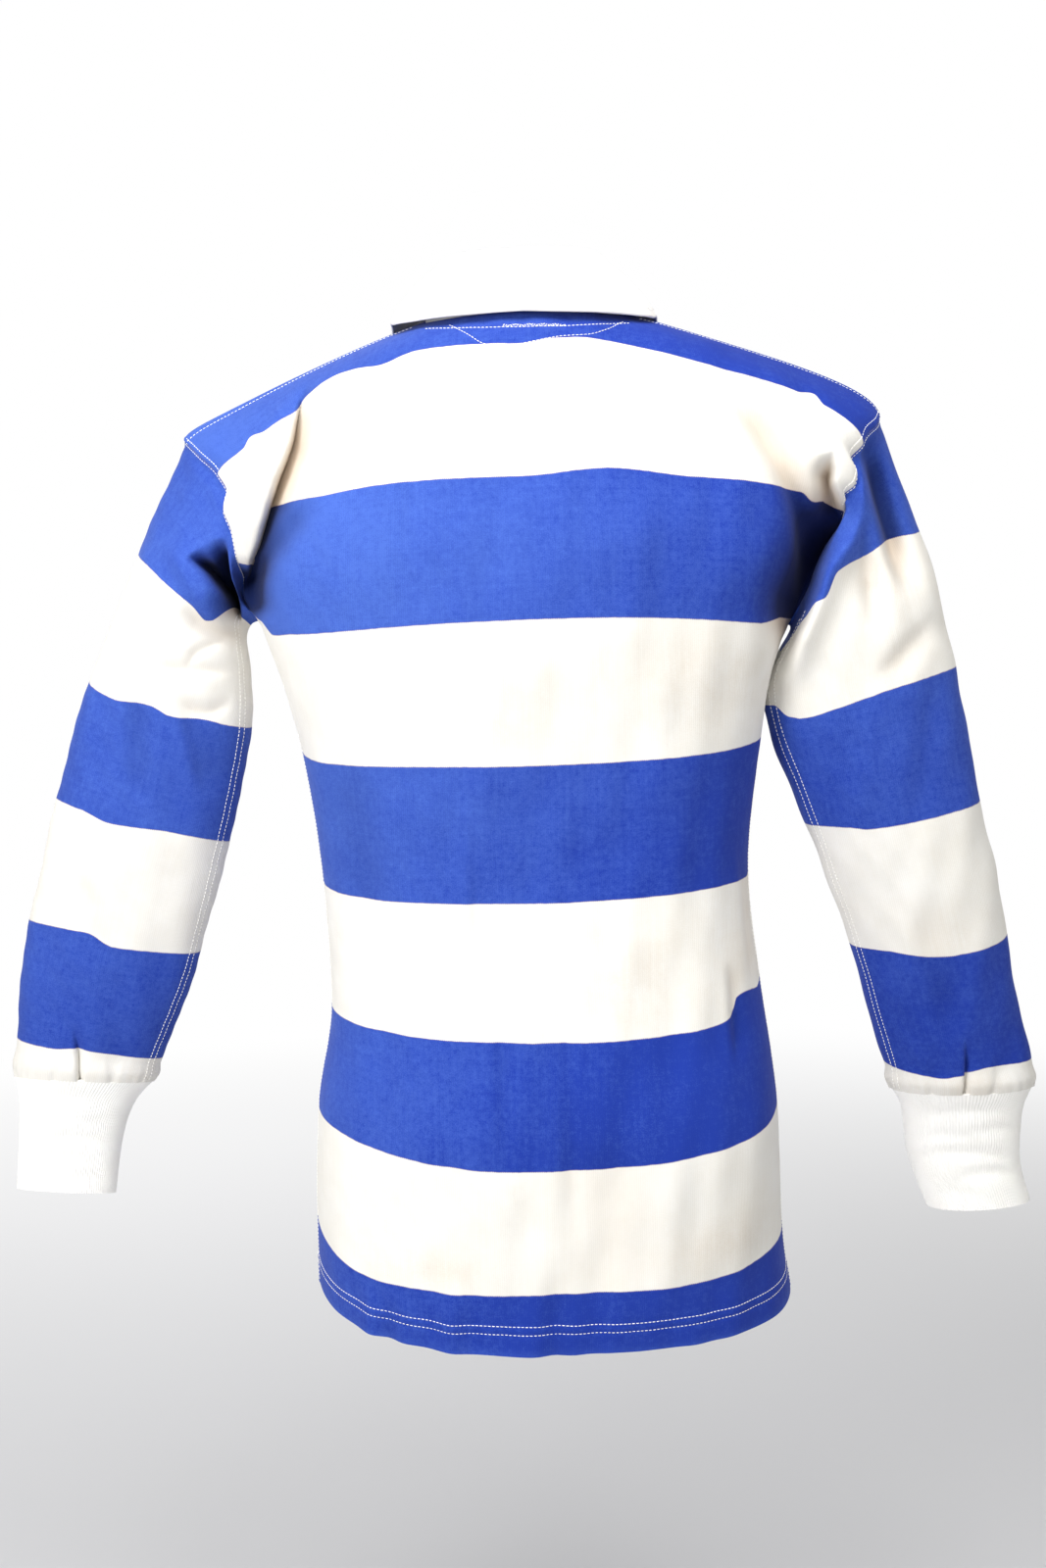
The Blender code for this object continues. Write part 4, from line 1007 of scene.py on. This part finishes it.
def sew():
    """The rows of stitches that show on the shirt."""
    turn = np.linspace(0.498, -0.498, ROW_POINTS)
    for sign, name in SIDES.items():
        rows = [on_sleeve(sign, np.full(ROW_POINTS, ROW_INSETS[0]), turn)]
        for side, end in (("back", SECOND_ROW_END[sign]), ("front", ARMHOLE_LENGTH)):
            s = np.linspace(ROW_START, end, ROW_POINTS // 2)
            rows.append(on_panel(side, sign * (1.0 - ROW_INSETS[1] / seam_span(s)), s))
        stitches("stitches_armhole_" + name, rows)
        s = np.linspace(ARMHOLE_LENGTH + ROW_START, BODY_LENGTH - ROW_STOP, ROW_POINTS)
        t = np.linspace(UNDERARM_ROW_START, SLEEVE_LENGTH - ROW_STOP, ROW_POINTS)
        rows = [on_panel("back", sign * (1.0 - inset / seam_span(s)), s) for inset in ROW_INSETS]
        rows += [on_sleeve(sign, t, np.full(ROW_POINTS, 0.5 - UNDERARM_TURN - inset / SLEEVE_SPAN))
                 for inset in ROW_INSETS]
        stitches("stitches_side_" + name, rows)
        u = sign * np.linspace(NECK_POINT + 0.02, 0.99, ROW_POINTS)
        stitches("stitches_shoulder_" + name, [on_panel("back", u, np.full(ROW_POINTS, SHOULDER_ROW))])
    u = np.linspace(-0.995, 0.995, ROW_POINTS)
    stitches("stitches_hem", [on_panel(side, u, np.full(ROW_POINTS, BODY_LENGTH - row))
                              for side in ("back", "front") for row in HEM_ROWS])
    neck_rows()
    collar_rows()


def back_point(x, z):
    """Points of the yoke, near the centre of the back, seen from behind at x and z."""
    s = np.interp(-z, -BACK_CENTRE["z"], BACK_CENTRE["s"])
    for _ in range(3):
        u = np.arcsin(x / half_width(x, s)) * 2.0 / np.pi
        s = s + panel("back", u, s)[..., 2] - z
    return on_panel("back", u, s)


def neck_rows():
    """Below the collar: the seam's row, the half moon's edge and a bar of zigzag."""
    x = np.linspace(*NECK_ROW_ENDS, 300)
    z = NECK_ROW_LEVEL + NECK_ROW_BOW * x ** 2
    share = np.linspace(0.0, 1.0, 300)
    knots = np.linspace(0.0, 1.0, len(HALF_MOON["x"]))
    moon = [along(knots, HALF_MOON[name], share) for name in "xz"]
    stitches("stitches_neck", [back_point(x, z), back_point(*moon)])
    bar_x = np.linspace(*BAR_ENDS, BAR_POINTS)
    bar_z = BAR_LEVEL + BAR_SWING * np.where(np.arange(BAR_POINTS) % 2, 1.0, -1.0)
    fine_x = np.linspace(*BAR_ENDS, 600)
    fine_z = np.interp(-fine_x, -bar_x, bar_z)
    stitches("stitches_bar", [back_point(fine_x, fine_z)], 1.15 * STITCH_RADIUS)


def collar_rows():
    """A row along the collar's free edges."""
    way = np.linspace(-COLLAR_OPENING, COLLAR_OPENING, 1400)
    share = np.array([0.925, 0.930, 0.935])
    grid = collar_at(way, share)
    out = normals(grid)[1]
    away = np.stack([np.sin(np.pi * way), np.cos(np.pi * way), 0 * way], -1)
    out = out * np.sign((out * away).sum(-1, keepdims=True))
    stitches("stitches_collar", [(grid[1] + out * COLLAR_WALL / 2.0, out)])


# ---- materials
# the last blue and the last cream below are painted shade for the bottoms of creases
# the middle blue is the colour of worn cloth, and also painted light where the light falls most
DEEP_BLUE, WORN_AND_LIT_BLUE, CREASE_SHADE_BLUE = (0.010, 0.036, 0.310), (0.056, 0.122, 0.480), (0.001, 0.005, 0.045)
CREAM, AGED_CREAM = (0.790, 0.775, 0.735), (0.720, 0.685, 0.610)
STAIN_AND_SHADE_CREAM, CREASE_SHADE_CREAM = (0.520, 0.400, 0.280), (0.500, 0.350, 0.210)
HOOP_EDGE = (0.200, 0.120, 0.230)
# clean and aged
RIB_WHITES = (0.930, 0.920, 0.890), (0.880, 0.860, 0.810)
TWILL_WHITES = (0.930, 0.915, 0.880), (0.850, 0.810, 0.730)
THREAD_WHITES = (0.93, 0.92, 0.88), (0.86, 0.83, 0.76)
RUBBER_WHITES = (0.83, 0.81, 0.75), (0.72, 0.68, 0.60)


def add_node(tree, kind, inputs=None, **settings):
    """A node with its settings, and with its inputs linked or given values."""
    made = tree.nodes.new(kind)
    for key, value in settings.items():
        setattr(made, key, value)
    for key, value in (inputs or {}).items():
        if isinstance(value, bpy.types.NodeSocket):
            tree.links.new(value, made.inputs[key])
        else:
            made.inputs[key].default_value = value
    return made


class Shader:
    """A material under construction, with short words for its nodes."""

    def __init__(self, name, **values):
        self.material = bpy.data.materials.new(name)
        self.material.use_nodes = True
        self.tree = self.material.node_tree
        self.surface = self.tree.nodes["Principled BSDF"]
        for key, value in values.items():
            self.surface.inputs[key.replace("_", " ")].default_value = value
        self.place = self.node("ShaderNodeTexCoord").outputs["Object"]

    def node(self, kind, inputs=None, **settings):
        return add_node(self.tree, kind, inputs, **settings)

    def math(self, operation, *values, clamp=False):
        made = self.node("ShaderNodeMath", dict(enumerate(values)), operation=operation)
        made.use_clamp = clamp
        return made.outputs[0]

    def scaled(self, value, factor, added=None, clamp=False):
        """A value times a factor, and plus another where one is given."""
        if added is None:
            return self.math("MULTIPLY", value, factor, clamp=clamp)
        return self.math("MULTIPLY_ADD", value, factor, added, clamp=clamp)

    def wave(self, value, length):
        """A sine that repeats over a length."""
        return self.math("SINE", self.scaled(value, TURN / length))

    def attribute(self, name):
        return self.node("ShaderNodeAttribute", attribute_name=name).outputs["Fac"]

    def noise(self, scale, detail=2.0, roughness=0.5, vector=None):
        return self.node("ShaderNodeTexNoise", {"Vector": vector or self.place, "Scale": scale,
                                                "Detail": detail, "Roughness": roughness}).outputs[0]

    def streaks(self, wide, down):
        """Noise drawn out along the cloth, with its scales across it and down it."""
        x = self.scaled(self.attribute("across"), wide)
        y = self.scaled(self.attribute("down"), down)
        return self.noise(1.0, vector=self.node("ShaderNodeCombineXYZ", {"X": x, "Y": y}).outputs[0])

    def mix(self, factor, first, second, blend="MIX"):
        first, second = ((*one, 1.0) if isinstance(one, tuple) else one for one in (first, second))
        return self.node("ShaderNodeMix", {0: factor, 6: first, 7: second}, data_type="RGBA",
                         blend_type=blend).outputs[2]

    def spread(self, base, *parts):
        """A base value and noises about one half, each with its weight, from 0 to 1."""
        for value, weight in parts:
            base = self.scaled(self.math("SUBTRACT", value, 0.5), weight, base)
        return self.math("ADD", base, 0.0, clamp=True)

    def finish(self, colour, height, distance, strength):
        """The material with its colour and with bumps of a height."""
        self.tree.links.new(colour, self.surface.inputs["Base Color"])
        bump = self.node("ShaderNodeBump", {"Height": height, "Distance": distance, "Strength": strength})
        self.tree.links.new(bump.outputs[0], self.surface.inputs["Normal"])
        return self.material


def jersey():
    """Knitted cotton in blue and cream hoops, worn and slightly stained, with painted light and shade in
    its colour.
    """
    made = Shader("jersey_blue", Roughness=0.92, Sheen_Weight=0.04, Sheen_Roughness=0.45,
                  Specular_IOR_Level=0.20)
    down, hollow = made.attribute("down"), made.attribute("hollow")
    streaks, bands = made.streaks(380.0, 11.0), made.streaks(12.0, 420.0)
    mottle, grain = made.noise(24.0, 4.0, 0.6), made.noise(1300.0, 1.0)

    # the hoops' edges, jagged by the knit's columns and its unevenness
    tooth = made.math("PINGPONG", made.attribute("across"), WALE / 2.0)
    edge = made.scaled(tooth, TOOTH / (WALE / 2.0), made.attribute("hoop"))
    edge = made.scaled(made.noise(160.0), 0.008, edge)
    wave = made.math("SINE", made.scaled(made.math("SUBTRACT", edge, 0.006), math.pi))
    blue_share = made.scaled(wave, -64.0, 0.5, clamp=True)
    seam_line = made.scaled(made.math("ABSOLUTE", wave), -48.0, 1.0, clamp=True)

    # painted light: the blue is paler where the light falls most; streaks, mottle and grain add random
    # tone, and the edges real wear
    worn = made.spread(made.attribute("painted_light"), (streaks, 0.30), (bands, 0.25), (mottle, 0.50),
                       (grain, 0.85), (made.noise(230.0), 0.60))
    worn = made.scaled(made.attribute("wear"), 0.20, worn, clamp=True)
    blue = made.mix(worn, DEEP_BLUE, WORN_AND_LIT_BLUE)
    # painted shade at the bottoms of the creases
    blue = made.mix(made.scaled(hollow, 0.92), blue, CREASE_SHADE_BLUE)
    aged = made.spread(0.35, (streaks, 0.4), (mottle, 1.2), (grain, 0.5))
    # the brownish marks: stains, and painted shade in one crease
    marks = made.spread(0.40, (streaks, 0.5), (mottle, 1.6), (grain, 0.8))
    marks = made.scaled(made.attribute("stain_and_shade"), marks, clamp=True)
    cream = made.mix(marks, made.mix(aged, CREAM, AGED_CREAM), STAIN_AND_SHADE_CREAM)
    # painted shade at the bottoms of the creases
    cream = made.mix(made.scaled(hollow, 0.65), cream, CREASE_SHADE_CREAM)
    colour = made.mix(made.scaled(seam_line, 0.45), made.mix(blue_share, cream, blue), HOOP_EDGE)

    # the knit's chevrons, and painted shade as darker lines in the grooves between its columns
    wale = made.math("POWER", made.scaled(tooth, 2.0 / WALE), 0.5)
    course = made.wave(made.scaled(tooth, 0.9, down), COURSE)
    height = made.scaled(grain, 0.8, made.scaled(course, 0.22, wale))
    height = made.scaled(made.noise(75.0, 3.0), 7.0, height)
    groove_shade = made.scaled(wale, 0.07, 0.93)
    groove_shade = made.node("ShaderNodeCombineColor", {0: groove_shade, 1: groove_shade, 2: groove_shade}).outputs[0]
    return made.finish(made.mix(1.0, colour, groove_shade, "MULTIPLY"), height, 0.0003, 0.25)


def rib():
    """White cotton rib."""
    made = Shader("rib_white", Roughness=0.92, Sheen_Weight=0.25, Sheen_Roughness=0.5,
                  Specular_IOR_Level=0.25)
    mottle, grain = made.noise(40.0, 3.0), made.noise(1500.0, 1.0)
    colour = made.mix(made.spread(0.35, (mottle, 1.2), (grain, 0.6)), *RIB_WHITES)
    course = made.wave(made.attribute("down"), COURSE)
    return made.finish(colour, made.scaled(grain, 1.2, course), 0.0002, 0.15)


def twill():
    """White cotton twill, its lines running aslant."""
    made = Shader("twill_white", Roughness=0.86, Sheen_Weight=0.15, Sheen_Roughness=0.5,
                  Specular_IOR_Level=0.3)
    mottle, grain = made.noise(34.0, 4.0, 0.6), made.noise(1400.0, 1.0)
    aged = made.spread(0.35, (mottle, 1.3), (grain, 0.4))
    colour = made.mix(made.scaled(made.attribute("wear"), 0.45, aged, clamp=True), *TWILL_WHITES)
    line = made.wave(made.math("ADD", made.attribute("across"), made.attribute("down")), TWILL_LINE)
    return made.finish(colour, made.scaled(grain, 0.8, line), 0.0002, 0.4)


def thread():
    """White cotton thread."""
    made = Shader("thread_white", Roughness=0.75, Sheen_Weight=0.2, Specular_IOR_Level=0.35)
    colour = made.mix(made.spread(0.4, (made.noise(60.0), 1.2)), *THREAD_WHITES)
    return made.finish(colour, made.noise(2400.0, 1.0), 0.0001, 0.4)


def rubber():
    """Pale rubber, slightly marked."""
    made = Shader("button_rubber", Roughness=0.42, Specular_IOR_Level=0.5)
    colour = made.mix(made.spread(0.4, (made.noise(380.0, 4.0), 1.4)), *RUBBER_WHITES)
    return made.finish(colour, made.noise(1500.0, 2.0), 0.0001, 0.25)


# ---- the buttons
BUTTON_SIDES = 72
BUTTON_FACE_START = 8    # row of the profile where the face starts
BUTTON_PROFILE = table("radius height", [
    (0, 0), (5, 0), (6.4, 0.4), (7, 1.4), (6.9, 2.4), (6.4, 3.1), (5.7, 3.4), (5, 3.2), (4.4, 2.7),
    *((radius, 2.4) for radius in np.linspace(4.0, 0.0, 14)),
])
HOLE_PLACE, HOLE_RADIUS, HOLE_DEPTH = 0.00145, 0.00065, 0.0018
BUTTON_THREAD_HEIGHT = 0.0026
BUTTON_GAP = 0.0003      # between a button and the placket


def button_form():
    """The points of a button, in rings from its foot over its rim and face to the centre."""
    knots = np.linspace(0.0, 1.0, len(BUTTON_PROFILE["radius"]))
    fine = np.linspace(0.0, 1.0, 3 * len(knots))[1:-1]
    radius, z = (along(knots, column, fine)[:, None] for column in BUTTON_PROFILE.values())
    turn = TURN * np.arange(BUTTON_SIDES) / BUTTON_SIDES
    x, y = radius * np.cos(turn), radius * np.sin(turn)
    on_face = (fine > knots[BUTTON_FACE_START])[:, None]
    for k in range(4):
        middle = math.pi / 4.0 + k * math.pi / 2.0
        away = np.hypot(x - HOLE_PLACE * math.cos(middle), y - HOLE_PLACE * math.sin(middle))
        z = z - on_face * HOLE_DEPTH * np.exp(-(away / HOLE_RADIUS) ** 4)
    return np.stack([x, y, z], -1)


def button(number, place):
    """A round rubber button with a rolled rim, a dished face and four sewn holes."""
    point, out = (Vector(found[0]) for found in front_frame(np.array([0.0]), np.array([place])))
    points = button_form()
    index = np.arange(points[..., 0].size).reshape(points.shape[:2])
    beside = np.roll(index, -1, axis=1)
    faces = np.stack([index[:-1], beside[:-1], beside[1:], index[1:]], -1).reshape(-1, 4).tolist()
    faces += [index[0, ::-1].tolist(), index[-1].tolist()]
    mesh = new_mesh("button_%d" % number, points.reshape(-1, 3), faces)
    mesh.materials.append(MATERIALS["button_rubber"])
    piece = link("shirt_button_%d" % number, mesh)
    turned = out.to_track_quat("Z", "Y")
    foot = point + out * (LAY_GAP + PLACKET_WALL + BUTTON_GAP)
    piece.data.transform(Matrix.Translation(foot) @ turned.to_matrix().to_4x4())
    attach(piece, "root")
    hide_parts("button_%d" % number)
    rows = []
    for lift in (-1.0, 1.0):
        ends = [Vector((side * HOLE_PLACE * 0.707, lift * HOLE_PLACE * 0.707, BUTTON_THREAD_HEIGHT))
                for side in (-1.0, 1.0)]
        line = np.array([foot + turned @ (ends[0].lerp(ends[1], q)) for q in np.linspace(-0.3, 1.3, 9)])
        rows.append((line, np.broadcast_to(np.array(out), line.shape).copy()))
    stitches("button_thread_%d" % number, rows)


# ---- the clothes
def rounded(grid, thickness):
    """Half thickness of a sheet, rounded off towards all its edges."""
    down = np.cumsum(np.linalg.norm(np.diff(grid, axis=0, prepend=grid[:1]), axis=-1), axis=0)
    wide = np.cumsum(np.linalg.norm(np.diff(grid, axis=1, prepend=grid[:, :1]), axis=-1), axis=1)
    near = np.minimum(np.minimum(down, down[-1:] - down), np.minimum(wide, wide[:, -1:] - wide))
    share = np.clip(1.0 - near / (thickness / 2.0), 0.0, 1.0)
    return np.maximum(np.sqrt(1.0 - share ** 2), EDGE_SHARE) * thickness / 2.0


def painted_crease_shade(plain, creases):
    """How deep in a crease each point lies, from 0 to 1; there shade is painted into the cloth's colour.
    """
    push = crease_field(plain[..., 0], plain[..., 2], creases)[0]
    return np.clip(-push / FULL_SHADE_DEPTH, 0.0, 1.0)


def painted_light_share(point, form):
    """Painted light: how much paler the blue is drawn where the light falls most, towards the wearer's
    left shoulder.
    """
    base, along_x, along_z, level = form
    x, z = point[..., 0], point[..., 2]
    yoke = YOKE_DARKER * np.maximum(z - YOKE_LEVEL, 0.0)
    return np.clip(base + along_x * x + along_z * (z - level) - yoke, 0.0, 1.0)


def worn_edge(distance):
    """How worn the cloth is at a distance from an edge or seam."""
    return np.exp(-(distance / WEAR_REACH) ** 2)


def dress():
    """Every cloth piece of the shirt."""
    dress_panel("back")
    dress_panel("front")
    for sign, side in SIDES.items():
        point, hoop, down, hollow = sleeve_skin(sign)
        inner = (point - outward(point) * WALL)[::2, ::2]
        extra = {"hoop": hoop, "down": down, "stain_and_shade": stain_and_shade_of(point), "wear": worn_edge(down),
                 "hollow": hollow, "painted_light": painted_light_share(point, SLEEVE_PAINTED_LIGHT)}
        cloth("sleeve_" + side, "jersey_blue", point, inner, extra)
        point, down = cuff_skin(sign)
        inside = down[::2, ::RIB_POINTS]
        plain = cuff(sign, inside, np.linspace(0.5, -0.5, CUFF_RIBS + 1)[None, :] + 0.0 * inside)
        inner = plain - outward(plain) * CUFF_WALL
        cloth("cuff_" + side, "rib_white", point, inner, {"down": down})
    dress_collar()
    dress_placket()


def dress_panel(side):
    """The back or the front, worn at its edges."""
    point, hoop, down, hollow = panel_skin(side)
    facing = normals(point)
    rows, columns = facing.shape[:2]
    facing = facing * np.sign(facing[rows // 2, columns // 2, 1]) * FACING[side]
    wide = widths(point)
    edge = np.minimum(np.abs(wide[:, -1:] - wide), np.abs(wide - wide[:, :1]))
    wear = np.maximum(worn_edge(edge), worn_edge(BODY_LENGTH - down))
    extra = {"hoop": hoop, "down": down, "wear": np.maximum(wear, worn_edge(down)), "hollow": hollow,
             "painted_light": painted_light_share(point, PANEL_PAINTED_LIGHT)}
    if side == "back":
        extra["stain_and_shade"] = stain_and_shade_of(point)
    cloth(side, "jersey_blue", point, (point - facing * WALL)[::2, ::2], extra)


def dress_collar():
    """The collar, worn at its edge and fold."""
    way = np.linspace(-COLLAR_OPENING, COLLAR_OPENING, 301)
    share = graded(COLLAR_UP)
    grid = collar_at(way, share)
    half = normals(grid) * rounded(grid, COLLAR_WALL)[..., None]
    down = np.cumsum(np.linalg.norm(np.diff(grid, axis=0, prepend=grid[:1]), axis=-1), axis=0)
    wear = np.maximum(worn_edge(down[-1:] - down), 0.5 * np.exp(-((share[:, None] - 0.46) / 0.05) ** 2))
    cloth("collar", "twill_white", grid + half, grid - half, {"down": down, "wear": wear})


def dress_placket():
    """The placket and the row of stitches round it."""
    x = np.linspace(-PLACKET_WIDTH / 2.0, PLACKET_WIDTH / 2.0, 33)
    s, x = np.meshgrid(np.linspace(PLACKET_START, PLACKET_END, 141), x, indexing="ij")
    point, out = front_frame(x, s)
    middle = point + out * (LAY_GAP + PLACKET_WALL / 2.0)
    half = out * rounded(middle, PLACKET_WALL)[..., None]
    edge = np.minimum(s - PLACKET_START, PLACKET_WIDTH / 2.0 - np.abs(x))
    cloth("placket", "twill_white", middle + half, middle - half, {"down": s, "wear": worn_edge(edge)})
    side = PLACKET_WIDTH / 2.0 - PLACKET_INSET
    line = np.linspace(PLACKET_START + PLACKET_INSET, PLACKET_END - PLACKET_INSET, 200)
    rows = [front_frame(np.full(200, place), line) for place in (-side, side)]
    rows += [front_frame(np.linspace(-side, side, 60), np.full(60, end)) for end in (line[0], line[-1])]
    rows = [(points + facing * (LAY_GAP + PLACKET_WALL), facing) for points, facing in rows]
    stitches("stitches_placket", rows)


def outward(grid):
    """Normals of a tube that point out of it."""
    facing = normals(grid)
    away = grid - grid.mean(axis=1, keepdims=True)
    return facing if (facing * away).sum() > 0.0 else -facing


# ---- floor, light, camera
# place, size and power
LIGHTS = {
    "key": ((1.2, 1.6, -0.1), 0.7, 30.0),
    "top": ((0.0, 0.8, 1.1), 1.1, 32.0),
    "fill": ((-1.9, 1.3, 0.8), 1.2, 12.0),
    "front": ((0.8, -2.4, 0.7), 2.2, 55.0),
}
WHITE = (1.0, 1.0, 1.0, 1.0)
AMBIENT = 0.13
FLOOR_HEIGHT, FLOOR_HALF = -1.25, 60.0
FLOOR_COLOUR = (0.68, 0.68, 0.69, 1.0)
FLOOR_FADE = (1.4, 3.4)  # distances at which the floor starts and ends fading into white
AIM = (0.0, 0.0, -0.35)
CAMERA_PLACE = (0.010, 1.392, -0.245)
CAMERA_PITCH, CAMERA_ROLL, CAMERA_LENS = math.radians(4.76), math.radians(1.5), 40.5


def area_light(name, place, size, power):
    """A soft square light that is aimed at the shirt."""
    data = bpy.data.lights.new(name, "AREA")
    data.size, data.energy = size, power
    lamp = link(name, data)
    lamp.location = place
    lamp.rotation_euler = (Vector(AIM) - Vector(place)).to_track_quat("-Z", "Y").to_euler()


def sky():
    """Plain white behind the shirt, and a softer light on it from all round."""
    world = bpy.data.worlds.new("studio")
    bpy.context.scene.world = world
    world.use_nodes = True
    tree = world.node_tree
    tree.nodes.clear()
    light, back = (add_node(tree, "ShaderNodeBackground", {"Color": WHITE, "Strength": strength})
                   for strength in (AMBIENT, 1.0))
    seen = add_node(tree, "ShaderNodeLightPath").outputs["Is Camera Ray"]
    both = add_node(tree, "ShaderNodeMixShader", {0: seen, 1: light.outputs[0], 2: back.outputs[0]})
    add_node(tree, "ShaderNodeOutputWorld", {"Surface": both.outputs[0]})


def floor():
    """A plain pale floor that fades into the white round it."""
    mesh = bpy.data.meshes.new("floor")
    corners = [(-FLOOR_HALF, -FLOOR_HALF), (FLOOR_HALF, -FLOOR_HALF), (FLOOR_HALF, FLOOR_HALF),
               (-FLOOR_HALF, FLOOR_HALF)]
    mesh.from_pydata([(x, y, FLOOR_HEIGHT) for x, y in corners], [], [(0, 1, 2, 3)])
    made = Shader("floor_pale", Roughness=0.9, Specular_IOR_Level=0.0)
    made.surface.inputs["Base Color"].default_value = FLOOR_COLOUR
    far = made.node("ShaderNodeVectorMath", {0: made.place}, operation="LENGTH").outputs["Value"]
    share = made.node("ShaderNodeMapRange", {0: far, 1: FLOOR_FADE[0], 2: FLOOR_FADE[1]},
                      interpolation_type="SMOOTHSTEP")
    glow = made.node("ShaderNodeEmission", {"Color": WHITE, "Strength": 1.0})
    both = made.node("ShaderNodeMixShader", {0: share.outputs[0], 1: made.surface.outputs[0],
                                             2: glow.outputs[0]})
    made.tree.links.new(both.outputs[0], made.tree.nodes["Material Output"].inputs["Surface"])
    mesh.materials.append(made.material)
    link("floor", mesh)


def camera():
    """The camera behind the shirt, slightly above its middle and a little rolled."""
    pitch, roll = CAMERA_PITCH, CAMERA_ROLL
    right = Vector((-1.0, 0.0, 0.0))
    ahead = Vector((0.0, -math.cos(pitch), -math.sin(pitch)))
    up = Vector((0.0, -math.sin(pitch), math.cos(pitch)))
    axes = (right * math.cos(roll) - up * math.sin(roll),
            right * math.sin(roll) + up * math.cos(roll), -ahead)
    data = bpy.data.cameras.new("camera")
    data.lens, data.sensor_width = CAMERA_LENS, 36.0
    data.clip_start, data.clip_end = 0.01, 200.0
    data.dof.use_dof = False
    made = link("camera", data)
    made.matrix_world = Matrix.Translation(CAMERA_PLACE) @ Matrix(axes).transposed().to_4x4()
    bpy.context.scene.camera = made


MATERIALS = {"jersey_blue": jersey(), "rib_white": rib(), "twill_white": twill(), "thread": thread(),
             "button_rubber": rubber()}

dress()
sew()
for number, place in enumerate(BUTTON_PLACES, 1):
    button(number, place)
floor()
sky()
for name, form in LIGHTS.items():
    area_light(name, *form)
camera()
bpy.context.scene.view_settings.view_transform = "Standard"
